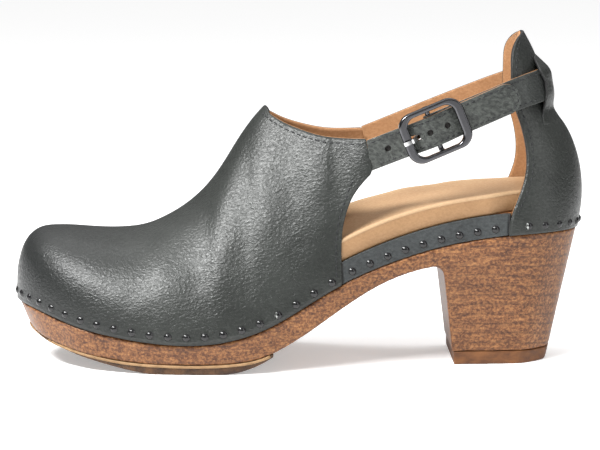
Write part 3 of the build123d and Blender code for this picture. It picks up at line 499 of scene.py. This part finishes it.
# ------------------------------------------------------------------ vamp
REAR = cubic(VAMP_REAR, 300)
SEAM_LAP = 0.7  # the vamp's edge laps over the end of each strap
REAR_EDGE = np.vstack([REAR, [(-56.2, 86.0), (SEAM_TOP[0] + SEAM_LAP, SEAM_TOP[1] - 0.8), SEAM_TOP]])
rear_at = graph(REAR_EDGE[:, ::-1])
APEX_X = -103.5  # front end of the opening, on the instep
ARCH_N = 44
STATIONS = 190
SIDE_COLS = 64
REAR_GUESS, REAR_LIMIT = -66.0, -56.0  # where the search for the vamp's rear edge starts, and its furthest back
VAMP_WELD = 0.06
LASTED = 0.1  # height of the unevenness in the lasted leather


def vamp_grid(inset):
    """Rows of points from the toe to the instep, then the two sides back to the seam with the strap."""
    first = TOE_X + inset
    share = np.linspace(0, 1, STATIONS)
    xs = first + (APEX_X - first) * (1 - np.cos(share * math.pi / 2)) ** 1.15
    t = np.linspace(0, 1, ARCH_N + 1)
    rise = np.sin(math.pi / 2 * t)
    rows = []
    for x in xs:
        left = arch(np.full_like(rise, x), -1, rise, inset)
        right = arch(np.full_like(rise, x), 1, rise, inset)[::-1]
        rows.append(np.vstack([left, right[1:]]))
    sides = []
    for side in (-1, 1):
        ends = np.full_like(t, REAR_GUESS)
        for _ in range(40):
            ends = 0.5 * ends + 0.5 * rear_at(vamp_z(ends, t, inset))
        ends = np.minimum(ends, REAR_LIMIT)
        cols = []
        for k in np.linspace(0, 1, SIDE_COLS):
            x = APEX_X + (ends - APEX_X) * k
            z = vamp_z(x, t, inset)
            r = np.clip((z - feather(x)) / (ridge(x, inset) - feather(x)), 0, 1)
            cols.append(arch(x, side, r, inset))
        sides.append(np.array(cols))
    return np.array(rows), sides


def top_share(x, inset):
    """Share of the arch at which the topline cuts it off behind the instep."""
    reach = np.clip((topline(np.clip(x, APEX_X, SEAM_TOP[0])) - feather(x)) / (ridge(x, inset) - feather(x)), 0, 1)
    cut = np.arcsin(reach) / (math.pi / 2)
    fade = np.clip((x - APEX_X) / 3.0, 0, 1)
    return cut * fade + (1 - fade)


def vamp_z(x, t, inset):
    return feather(x) + (ridge(x, inset) - feather(x)) * np.sin(math.pi / 2 * t * top_share(x, inset))


def ripple(p, amount):
    """Gentle unevenness of lasted leather."""
    x, y, z = p[..., 0], p[..., 1], p[..., 2]
    wave = (
        np.sin(x * 0.19 + z * 0.23 + 1.3) * np.sin(y * 0.16 - z * 0.11)
        + 0.6 * np.sin(x * 0.41 - z * 0.37 + 0.4) * np.sin(y * 0.31 + x * 0.12 + 2.0)
    )
    calm = np.clip((x + 205) / 45, 0.15, 1) * np.clip((z - feather(x)) / 8, 0, 1)
    calm = calm * np.clip(np.abs(y) / 12, 0, 1) ** 2
    out = p.copy()
    out[..., 1] += np.sign(y) * amount * wave * calm
    return out


def vamp_mesh(name, inset, mats, amount):
    front, (lateral, medial) = vamp_grid(inset)
    front, lateral, medial = (ripple(g, amount) for g in (front, lateral, medial))
    points = [front.reshape(-1, 3)]
    faces = grid_faces(front.shape[0], front.shape[1], flip=True)
    start = front.shape[0] * front.shape[1]
    faces += grid_faces(lateral.shape[0], lateral.shape[1], start, flip=True)
    points.append(lateral.reshape(-1, 3))
    start += lateral.shape[0] * lateral.shape[1]
    faces += grid_faces(medial.shape[0], medial.shape[1], start)
    points.append(medial.reshape(-1, 3))
    obj = raw_mesh(name, np.vstack(points), faces, mats)
    weld(obj, VAMP_WELD)
    return obj


vamp = vamp_mesh("vamp_leather", 0.0, [upper, edge_mat], LASTED)
thicken(vamp, LEATHER, rim=1)
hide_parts("vamp_outer", "toe_stiffener")
vamp_inside = vamp_mesh("vamp_lining_made", LEATHER + GLUE, lining, LASTED)
thicken(vamp_inside, LINING)
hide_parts("vamp_lining")

# ------------------------------------------------------------------ counter
RING_N = 72
COUNTER_LEVELS = 110
COUNTER_FOOT, COUNTER_TOP = 57.25, 143.4
TIP_ROUND = 2.0  # height of the rounded end of the pull tab


def counter_points(z, turn, outset=0.0):
    centre = heel_centre(z)
    return np.stack(
        np.broadcast_arrays(
            centre + (back_x(z) - centre + outset) * np.cos(turn), (heel_half(z) + outset) * np.sin(turn), z
        ),
        axis=-1,
    )


def front_turn(z, outset=0.0):
    centre = heel_centre(z)
    return np.arccos(np.clip((front_at(z) - centre) / (back_x(z) - centre + outset), -1, 1))


def counter_mesh(name, outset, mats):
    rows = []
    for share in np.linspace(0, 1, COUNTER_LEVELS):
        turn = np.linspace(-1, 1, RING_N)
        z = COUNTER_FOOT + (COUNTER_TOP - COUNTER_FOOT) * share
        limit = front_turn(z, outset)
        if z > COUNTER_TOP - TIP_ROUND:
            limit *= 1 - 0.35 * ((z - COUNTER_TOP + TIP_ROUND) / TIP_ROUND) ** 2
        p = counter_points(np.full(RING_N, z), turn * limit, outset)
        p[:, 2] += (feather(p[:, 0]) - COUNTER_FOOT) * (1 - share)
        rows.append(p)
    grid = np.array(rows)
    return raw_mesh(name, grid.reshape(-1, 3), grid_faces(COUNTER_LEVELS, RING_N), mats)


counter = counter_mesh("counter_leather", 0.0, [upper, edge_mat])
thicken(counter, LEATHER, rim=1)
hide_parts("counter_outer", "heel_stiffener")
counter_inside = counter_mesh("counter_lining_made", -(LEATHER + GLUE), lining)
thicken(counter_inside, LINING)
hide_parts("counter_lining")

# ------------------------------------------------------------------ straps
heel_strap = from_cad("heel_strap", 0.32, 4, strap_mat)
heel_strap_inside = from_cad("heel_strap_lining", 0.3, 2, lining)
tip = from_cad("tip_strap", 0.28, 4, tip_mat)
tip_inside = from_cad("tip_strap_lining", 0.26, 2, lining)


def ring_run(z):
    """The strap's inner line at level z, from the lateral seam round the heel to the medial seam."""
    key = round(float(z), 1)
    if ("s", key) not in cache:
        level = min(max(key, 111), 135)
        centre = heel_centre(level)
        reach, wide = back_x(level) - centre, heel_half(level)
        turns = np.radians([-80, -60, -40, -20, 0, 20, 40, 60, 80])
        behind = [(centre + reach * math.cos(t), wide * math.sin(t)) for t in turns]
        cache["s", key] = cubic(LATERAL_RUN + behind + MEDIAL_RUN, 900)
    return cache["s", key]


def strap_point(x, rise, side, outset):
    """A point on the heel strap at x, rise above its centre line, outset from its inner line."""
    z = float(strap_centre(x)) + rise
    run = moved(ring_run(z), -outset)
    back_most = int(run[:, 0].argmax())
    part = run[: back_most + 1] if side < 0 else run[back_most:][::-1]
    return np.array([x, np.interp(x, part[:, 0], part[:, 1]), z])


# The sleeve on the back of the counter that the strap runs through, with a curved open edge each side.
SLEEVE_BULGE_AT = graph(cubic(SLEEVE_BULGE))
SLEEVE_EDGE = graph(np.array(
    [(104, 18.2), (108, 18.0), (112, 19.2), (117, 20.2), (122, 19.6), (127, 17.2), (133, 14.6)]))
SLEEVE_FOOT, SLEEVE_TOP = 104, 133
levels, across = 60, 72
rows = []
for z in np.linspace(SLEEVE_FOOT, SLEEVE_TOP, levels):
    bulge, centre = float(SLEEVE_BULGE_AT(z)), heel_centre(z)
    limit = math.acos(np.clip((SLEEVE_EDGE(z) - centre) / (back_x(z) - centre + bulge), -1, 1))
    rows.append(counter_points(np.full(across, z), np.linspace(-limit, limit, across), bulge))
sleeve = raw_mesh("sleeve_leather", np.array(rows).reshape(-1, 3), grid_faces(levels, across), [upper, edge_mat])
thicken(sleeve, SLEEVE_THICK, rim=1)
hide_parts("strap_sleeve")

# ------------------------------------------------------------------ footbed
PLATFORM_RISE = eased([(-212, 6.0), (-112, 6.0), (-72, 9.6), (40, 9.6)])
ARCH_SUPPORT = eased([(-140, 0.0), (-112, 1.6), (-88, 3.9), (-67, 4.6), (-45, 3.0), (-23, 1.2), (0, 0.0)])
FORE_SHARE = eased([(-84, 1.0), (-71, 0.0)])
HEEL_SHARE = eased([(-7, 0.0), (5, 1.0)])
BED_FORE, BED_ARCH, BED_HEEL = 8.6, 2.9, 6.2  # how far the bed's wall is inside the outline
BED_STATIONS = 150


def bed_walls(x):
    fore, mid, heel = (np.array(walls(x, inset)) for inset in (BED_FORE, BED_ARCH, BED_HEEL))
    a, b = FORE_SHARE(x), HEEL_SHARE(x)
    return (mid * (1 - a) + fore * a) * (1 - b) + heel * b


def bed_section(x):
    """One cross-section, counter-clockwise seen from the heel, with the material of each stretch."""
    low_y, high_y = bed_walls(x)
    centre, half = (low_y + high_y) / 2, (high_y - low_y) / 2
    base, top = feather(x) + PLATFORM_RISE(x) + 0.05, footbed_top(x)
    round_over = min(1.5, half * 0.6)
    points, kinds = [], []

    def corner(side, order):
        rim = top + (ARCH_SUPPORT(x) if side > 0 else 0.0)
        y = centre + side * half
        wall = [(y + side * 0.35 * math.sin(math.pi * k / 8) - side * 0.2, base + (rim - round_over - base) * k / 8)
                for k in range(9)]
        bend = [(y - side * round_over * (1 - math.cos(t)), rim - round_over * (1 - math.sin(t)))
                for t in np.linspace(0.2, math.pi / 2 - 0.1, 6)]
        chain = wall + bend
        # The wall's faces take the side's painted shade, the bend's faces the painted highlight.
        marks = [0] * 9 + [1] * 6
        return (chain, marks) if order else (chain[::-1], marks[::-1])

    chain, marks = corner(1, True)
    points += chain
    kinds += marks
    for m in np.linspace(1, 0, 25)[1:-1]:
        y = centre - half + round_over + (2 * half - 2 * round_over) * m
        support = ARCH_SUPPORT(x) * m**1.8
        dish = 0.9 * math.sin(math.pi * m) ** 0.8
        points.append((y, top + support - dish))
        kinds.append(2)
    chain, marks = corner(-1, False)
    points += chain
    kinds += marks
    for m in np.linspace(0, 1, 9)[1:-1]:
        points.append((centre - half + 2 * half * m, base))
        kinds.append(0)
    return [(x, y, z) for y, z in points], kinds


bed_share = (1 - np.cos(np.linspace(0, math.pi, BED_STATIONS))) / 2
bed_first, bed_last = TOE_X + BED_FORE + 0.03, HEEL_X - BED_HEEL - 0.03
stations = bed_first + (bed_last - bed_first) * (0.55 * bed_share + 0.45 * np.linspace(0, 1, BED_STATIONS))
stations[1], stations[-2] = bed_first + 0.12, bed_last - 0.12
bed_points, bed_kinds = [], None
for x in stations:
    section, bed_kinds = bed_section(x)
    bed_points += section
size = len(bed_kinds)
bed_faces = grid_faces(len(stations), size, wrap=True, flip=True)
bed_index = [bed_kinds[j] for _ in range(len(stations) - 1) for j in range(size)]
bed_faces += [tuple(range(size)), tuple(range(size * len(stations) - 1, size * (len(stations) - 1) - 1, -1))]
bed_index += [0, 0]
# Slot 0 is the side wall in painted shade, slot 1 the rim's bend in painted highlight, slot 2 the top.
footbed = raw_mesh("footbed_leather", bed_points, bed_faces, [bed_side_painted_shade, rim_highlight_mat, bed_top], index=bed_index)
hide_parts("footbed_core", "footbed_cover")


# ------------------------------------------------------------------ stitches
THREAD_RADIUS = 0.3
THREAD_LIFT = 0.12  # how far a row's middle line lies over the leather


def stitches(name, path, normals, pitch=3.0, length=2.2):
    """A row of thread stitches along a path of points, each a small capsule lying on the surface."""
    path, normals = np.asarray(path, float), np.asarray(normals, float)
    step = np.linalg.norm(np.diff(path, axis=0), axis=1)
    run = np.concatenate([[0], np.cumsum(step)])
    count = int(run[-1] // pitch)
    verts, faces = [], []
    profile = [(-1.0, 0.0), (-0.86, 0.62), (-0.45, 1.0), (0.45, 1.0), (0.86, 0.62), (1.0, 0.0)]
    for i in range(count):
        at = (i + 0.5) * run[-1] / count
        where = [np.array([np.interp(at + d, run, path[:, k]) for k in range(3)])
                 for d in (-length / 2, 0, length / 2)]
        up = np.array([np.interp(at, run, normals[:, k]) for k in range(3)])
        up /= np.linalg.norm(up)
        ahead = where[2] - where[0]
        ahead /= np.linalg.norm(ahead)
        side = np.cross(up, ahead)
        side /= np.linalg.norm(side)
        up = np.cross(ahead, side)
        first = len(verts)
        for along_it, wide in profile:
            spot = where[1] + ahead * along_it * length / 2 - up * 0.12 * along_it**4
            for k in range(6):
                turn = math.tau * k / 6
                verts.append(spot + THREAD_RADIUS * wide * (side * math.cos(turn) + up * 0.75 * math.sin(turn)))
        faces += grid_faces(len(profile), 6, first, wrap=True)
    return raw_mesh(name, verts, faces, thread)


def vamp_point(x, z, side):
    rise = np.clip((z - feather(x)) / (ridge(x) - feather(x)), 0, 1)
    return arch(np.float64(x), side, np.float64(rise))


def vamp_normal(x, z, side):
    here = vamp_point(x, z, side)
    a = vamp_point(x + 0.5, z, side) - here
    b = vamp_point(x, z - 0.5, side) - here
    n = np.cross(a, b) * (1 if side < 0 else -1)
    n = n / (np.linalg.norm(n) + 1e-9)
    return -n if n[1] * side < 0 and abs(n[1]) > 0.2 else n


def vamp_row(name, line):
    """A stitch row on the vamp through (x, z, side) places."""
    path = np.array([vamp_point(*p) for p in line])
    normals = np.array([vamp_normal(*p) for p in line])
    stitches(name, path + normals * THREAD_LIFT, normals)


TOP_ROW = 2.4  # stitches under the topline
top_x = np.linspace(-60.5, -107.0, 70)
lateral_top = [
    (x, min(float(topline(max(x, APEX_X))) - TOP_ROW + max(0, APEX_X - x) * 0.55, float(ridge(x)) - 0.2), -1)
    for x in top_x
]
lateral_top = [p for p in lateral_top if p[1] < ridge(p[0]) - 0.8]
medial_top = [(x, z, 1) for x, z, _ in lateral_top][::-1]
vamp_row("stitch_topline_lateral", lateral_top)
vamp_row("stitch_topline_medial", medial_top)
rear_z = np.linspace(40.5, 86, 60)
for side, label in ((-1, "lateral"), (1, "medial")):
    line = [(float(rear_at(z)) - 2.3 - 0.35 * max(0, z - 74), z, side) for z in rear_z if z < 82]
    vamp_row("stitch_rear_" + label, line)

# Round the tip strap, in the buckle's own frame: u along it, v away from the foot, w across it.
TIP_PATH = cubic([(-34, -3.3), (-29, -2.6), (-22, -1.1), (-13, 1.0), (-6, 3.9), (0, 5.0), (6, 4.1), (10.5, 3.0),
                  (14, 2.8), (22, 2.6), (32, 1.75), (40.8, 0.8)])
tip_top = graph(TIP_PATH)
ALONG = np.array([0.92169, 0.08716, 0.37801])
OUTWARD = np.array([0.09414, -0.99556, 0.0])
ACROSS = np.cross(ALONG, OUTWARD)
BUCKLE_ORIGIN = np.array([-30.3, -27.0, 103.0])
TIP_THICK, TIP_HALF, TIP_CENTRE = 2.4, 6.5, 33.6
TIP_START = -26.5  # where the tip strap's stitching begins, beside the vamp
EDGE_IN = 1.5
loop = [(u, -(TIP_HALF - EDGE_IN)) for u in np.linspace(TIP_START, TIP_CENTRE, 90)]
loop += [(TIP_CENTRE + (TIP_HALF - EDGE_IN) * math.sin(t), -(TIP_HALF - EDGE_IN) * math.cos(t))
         for t in np.linspace(0, math.pi, 24)[1:]]
loop += [(u, TIP_HALF - EDGE_IN) for u in np.linspace(TIP_CENTRE, TIP_START, 90)[1:]]
path, normals = [], []
for u, w in loop:
    slope = tip_top(u + 0.5) - tip_top(u - 0.5)
    n = OUTWARD - ALONG * slope
    n = n / np.linalg.norm(n)
    path.append(BUCKLE_ORIGIN + ALONG * u + OUTWARD * tip_top(u) + n * (TIP_THICK + 0.02) + ACROSS * w)
    normals.append(n)
stitches("stitch_tip", path, normals, 2.7, 2.0)


def strap_frame(u, w, lift):
    """A place over the tip strap's inner face."""
    return BUCKLE_ORIGIN + ALONG * u + OUTWARD * (tip_top(u) + lift) + ACROSS * w


# Dark discs painted as the shade at the back of the strap's punched holes, and the leather seen through the prong's
# opening.
HOLE_PLACES = (-21.0, -2.3, 5.8)
HOLE_BACK_RADIUS, HOLE_SIDES = 1.55, 24
HOLE_MIDDLE, HOLE_RIM, HOLE_FOOT = 1.15, 1.35, 0.9  # levels over the strap's inner face
verts, faces = [], []
for u0 in HOLE_PLACES:
    first = len(verts)
    verts.append(strap_frame(u0, 0, HOLE_MIDDLE))
    for level in (HOLE_RIM, HOLE_FOOT):
        verts += [strap_frame(u0 + HOLE_BACK_RADIUS * math.cos(t), HOLE_BACK_RADIUS * math.sin(t), level)
                  for t in np.linspace(0, math.tau, HOLE_SIDES + 1)[:-1]]
    faces += [(first, first + 1 + k, first + 1 + (k + 1) % HOLE_SIDES) for k in range(HOLE_SIDES)]
    faces += grid_faces(2, HOLE_SIDES, first + 1, wrap=True)
    faces.append(tuple(range(first + 2 * HOLE_SIDES, first + HOLE_SIDES, -1)))
raw_mesh("hole_backs", verts, faces, hole_dark)
PATCH_ALONG, PATCH_ACROSS, PATCH_LEVELS = (-6.8, -4.7), (-1.5, 1.5), (1.3, 2.0)
BOX_FACES = [(0, 1, 3, 2), (4, 6, 7, 5), (0, 4, 5, 1), (2, 3, 7, 6), (0, 2, 6, 4), (1, 5, 7, 3)]
verts = [strap_frame(u, w, lift) for lift in PATCH_LEVELS for u in PATCH_ALONG for w in PATCH_ACROSS]
patch = raw_mesh("opening_back", verts, BOX_FACES, tip_mat, smooth=False)

# Along both edges of the heel strap.
STRAP_ROW, STRAP_FACE = 5.4, 2.95  # the rows' distance from the middle line, and the outer face's from the inner line
for side, label, first, last in ((-1, "lateral", -24.0, 17.5), (1, "medial", -57.5, 17.5)):
    for edge, word in ((1, "upper"), (-1, "lower")):
        xs = np.linspace(first, last, 50)
        face = np.array([strap_point(x, edge * STRAP_ROW, side, STRAP_FACE) for x in xs])
        inner = np.array([strap_point(x, edge * STRAP_ROW, side, STRAP_FACE - 1) for x in xs])
        stitches("stitch_strap_%s_%s" % (label, word), face, face - inner, 2.8, 2.0)

# Down both front edges of the counter.
for side, label in ((-1, "lateral"), (1, "medial")):
    path, normals = [], []
    for z in np.linspace(66, 140, 80):
        centre = heel_centre(z)
        turn = side * (front_turn(z) - 2.2 / heel_half(z))
        p, q = counter_points(z, turn, THREAD_LIFT), counter_points(z, turn, -0.9)
        path.append(p)
        normals.append(p - q)
    stitches("stitch_counter_" + label, path, normals)

# ------------------------------------------------------------------ bead along the tread, painted light as its highlight
WOOD_UNDER = [(-214, 19), (-205, 14.6), (-193, 10.4), (-180, 7.6), (-164, 5.2), (-148, 4.3), (-132, 4.1),
              (-116, 4.7), (-105, 6.4), (-96, 10)]
BASE_INSET = eased([(-211, 11), (-196, 6.5), (-178, 3), (-150, 1.8), (-110, 1.8), (-80, 3), (-50, 5)])
WELT_STEP = 0.8  # how far the upper stands proud of the wood below it
under_at = graph(cubic(WOOD_UNDER))


def wood_wall(z_at, first_x, last_x):
    """Points on the wood's wall at the level z_at(x), from the medial side round the toe to the lateral side."""
    shelf = moved(OUTLINE, WELT_STEP)
    heading = np.gradient(OUTLINE, axis=0)
    heading /= np.linalg.norm(heading, axis=1)[:, None]
    found = []
    for (x, y), (dx, dy) in zip(shelf[::6], heading[::6]):
        if x > last_x + 12:
            continue
        lean = BASE_INSET(x)
        z = z_at(x)
        for _ in range(3):
            share = 1 - z / feather(x)
            place = np.array([x - dy * lean * share, y + dx * lean * share])
            z = z_at(place[0])
        if first_x <= place[0] <= last_x:
            found.append((place[0], place[1], z, dy, -dx))
    return np.array(found)


TUBE_SIDES = 8


def tube(name, path, radius, mat, up, flat=1.0):
    """A closed round bar along a path; up points out of the surface and flat scales its height."""
    path = np.asarray(path, float)
    ahead = np.gradient(path, axis=0)
    ahead /= np.linalg.norm(ahead, axis=1)[:, None]
    out = np.asarray(up, float)
    side = np.cross(ahead, out)
    side /= np.linalg.norm(side, axis=1)[:, None]
    out = np.cross(side, ahead)
    verts = []
    for p, o, d in zip(path, out, side):
        for k in range(TUBE_SIDES):
            turn = math.tau * k / TUBE_SIDES
            verts.append(p + radius * (o * math.cos(turn) * flat + d * math.sin(turn)))
    faces = grid_faces(len(path), TUBE_SIDES, wrap=True)
    faces += [tuple(range(TUBE_SIDES))[::-1], tuple(range(len(verts) - TUBE_SIDES, len(verts)))]
    return raw_mesh(name, verts, faces, mat)


BEAD_DROP, BEAD_FIRST, BEAD_LAST = 0.55, -208.0, -99.5
BEAD_OUT, BEAD_RADIUS, BEAD_FLAT = 0.05, 0.62, 0.6
bead_line = wood_wall(lambda x: float(under_at(x)) - BEAD_DROP, BEAD_FIRST, BEAD_LAST)
bead_out = np.c_[bead_line[:, 3:], np.zeros(len(bead_line))]
bead = tube("tread_bead", bead_line[:, :3] + bead_out * BEAD_OUT, BEAD_RADIUS, tread_bead_highlight_mat, bead_out, BEAD_FLAT)

# Folded leather ends where each rand meets the vamp and the counter.
RAND_ENDS, RAND_END_RADIUS, RAND_END_POINTS = (-69.15, 2.75), 0.75, 12
for side in (-1, 1):
    for x in RAND_ENDS:
        wall = float(walls(x, 2.0)[0 if side < 0 else 1])
        zs = np.linspace(float(feather(x)) + 0.2, float(feather(x)) + 9.6, RAND_END_POINTS)
        out = np.array([(0, side, 0)] * RAND_END_POINTS, float)
        label = "rand_end_%d_%s" % (abs(x), "l" if side < 0 else "m")
        tube(label, [(x, wall, z) for z in zs], RAND_END_RADIUS, edge_mat, out)

# ------------------------------------------------------------------ three nails with bare heads
PALE_NAILS = (("vamp_nails", -97, 25.6), ("counter_nails", 10.9, 61.3), ("counter_nails", 17.3, 61.3))
CAP_RADIUS, CAP_DEPTH, CAP_LIFT = 1.74, 0.95, 0.12
CAP_RINGS, CAP_SIDES = 6, 20
NAIL_MIN = 3  # a loose part smaller than this isn't a whole nail
OTHER_SIDE = 1000  # keeps the medial nails out of the choice


def islands(mesh):
    """The vertices of each of a mesh's larger loose parts, in millimetres."""
    count = len(mesh.vertices)
    group = np.arange(count)
    edges = np.array([e.vertices[:] for e in mesh.edges])
    for _ in range(60):
        low = np.minimum(group[edges[:, 0]], group[edges[:, 1]])
        before = group.copy()
        np.minimum.at(group, edges[:, 0], low)
        np.minimum.at(group, edges[:, 1], low)
        group = group[group]
        if (before == group).all():
            break
    co = np.array([v.co[:] for v in mesh.vertices]) / MM
    parts = [co[group == g] for g in np.unique(group)]
    return [p for p in parts if np.ptp(p, axis=0).max() > NAIL_MIN]


def pale_caps():
    """Bare metal domes over three of the nail heads."""
    verts, faces = [], []
    for node, near_x, near_z in PALE_NAILS:
        parts = islands(frame["nodes"][node].data)
        best = min(parts, key=lambda p: np.linalg.norm(p.mean(0) - np.array([near_x, p[:, 1].mean(), near_z]))
                   + (OTHER_SIDE if p[:, 1].mean() > 0 else 0))
        axis = np.linalg.svd(best - best.mean(0))[2][0]
        head = best[np.argmax(best @ -np.array([0, 1.0, 0]))]
        outward = axis if axis @ (head - best.mean(0)) > 0 else -axis
        reach = (best @ outward).max()
        foot = best[(best @ outward) > reach - 0.9]
        centre = foot.mean(0)
        tip_at = centre + outward * (reach - centre @ outward + CAP_LIFT)
        u = np.cross(outward, [0, 0, 1.0])
        u /= np.linalg.norm(u)
        v = np.cross(outward, u)
        first = len(verts)
        for ring in range(1, CAP_RINGS + 1):
            share = ring / CAP_RINGS
            middle = tip_at - outward * CAP_DEPTH * share**2
            for k in range(CAP_SIDES):
                turn = math.tau * k / CAP_SIDES
                verts.append(middle + CAP_RADIUS * share * (u * math.cos(turn) + v * math.sin(turn)))
        faces += grid_faces(CAP_RINGS, CAP_SIDES, first, wrap=True)
        faces.append(tuple(range(first, first + CAP_SIDES)))
    raw_mesh("pale_nail_heads", verts, faces, nail_pale)


pale_caps()

# ------------------------------------------------------------------ camera, light and floor
VIEW_AZIMUTH, VIEW_ELEVATION = math.radians(-1.0), math.radians(8.0)
VIEW_DISTANCE, VIEW_TARGET = 1.150, Vector((-0.08666, 0, 0.05795))
back = Vector((
    math.sin(VIEW_AZIMUTH) * math.cos(VIEW_ELEVATION),
    -math.cos(VIEW_AZIMUTH) * math.cos(VIEW_ELEVATION),
    math.sin(VIEW_ELEVATION),
))
camera = bpy.data.objects.new("camera", bpy.data.cameras.new("camera"))
camera.data.lens, camera.data.sensor_width = 156.8, 36
camera.data.clip_end = 20
camera.location = VIEW_TARGET + back * VIEW_DISTANCE
camera.rotation_mode = "QUATERNION"
camera.rotation_quaternion = (-back).to_track_quat("-Z", "Y")
bpy.context.scene.collection.objects.link(camera)
bpy.context.scene.camera = camera


def area_light(name, place, target, size, power, color=(1, 1, 1)):
    data = bpy.data.lights.new(name, "AREA")
    data.shape, data.size, data.size_y, data.energy, data.color = "RECTANGLE", size[0], size[1], power, color
    lamp = bpy.data.objects.new(name, data)
    lamp.location = place
    lamp.rotation_euler = (Vector(target) - Vector(place)).to_track_quat("-Z", "Y").to_euler()
    bpy.context.scene.collection.objects.link(lamp)


area_light("key", (-0.60, -0.46, 0.82), (-0.13, 0, 0.06), (0.75, 0.15), 22)
area_light("fill", (0.95, -0.75, 0.5), (-0.06, 0, 0.08), (0.3, 0.7), 3)
area_light("top", (-0.1, 0.25, 0.9), (-0.1, 0, 0.05), (1.0, 0.3), 3)

# The studio is bright overhead and darker towards the horizon, which gives gloss its contrast.
world = bpy.data.worlds.new("studio")
world.use_nodes = True
sky_nodes, sky_links = world.node_tree.nodes, world.node_tree.links
sky_where, sky_split = sky_nodes.new("ShaderNodeTexCoord"), sky_nodes.new("ShaderNodeSeparateXYZ")
sky_ramp = ramp_node(sky_nodes, [(0.0, (0.10, 0.10, 0.10)), (0.25, (0.20, 0.20, 0.20)), (0.6, (0.66, 0.66, 0.66)),
                                 (1.0, (0.85, 0.85, 0.85))])
sky_links.new(sky_where.outputs["Generated"], sky_split.inputs[0])
sky_links.new(sky_split.outputs[2], sky_ramp.inputs[0])
sky_links.new(sky_ramp.outputs[0], sky_nodes["Background"].inputs["Color"])
sky_nodes["Background"].inputs["Strength"].default_value = 1.0
bpy.context.scene.world = world
bpy.context.scene.view_settings.view_transform = "Standard"

floor_mat = base_material("floor", (0.93, 0.93, 0.93), 0.6, 0, 0.2)
floor_glow = floor_mat.node_tree.nodes["Principled BSDF"]
floor_glow.inputs["Emission Color"].default_value = (1, 1, 1, 1)
floor_glow.inputs["Emission Strength"].default_value = 0.36
floor = raw_mesh(
    "floor", [(-6000, -4000, -0.05), (6000, -4000, -0.05), (6000, 6000, -0.05), (-6000, 6000, -0.05)],
    [(0, 1, 2, 3)], floor_mat, body=None, smooth=False,
)

# The CAD nodes that stay in view take the scene's materials.
for node, mat in (
    ("buckle_frame", gunmetal), ("buckle_prong", steel), ("vamp_nails", nail_black), ("counter_nails", nail_black),
    ("rand_nails_lateral", nail_black), ("rand_nails_medial", nail_black),
):
    data = frame["nodes"][node].data
    data.materials.clear()
    data.materials.append(mat)
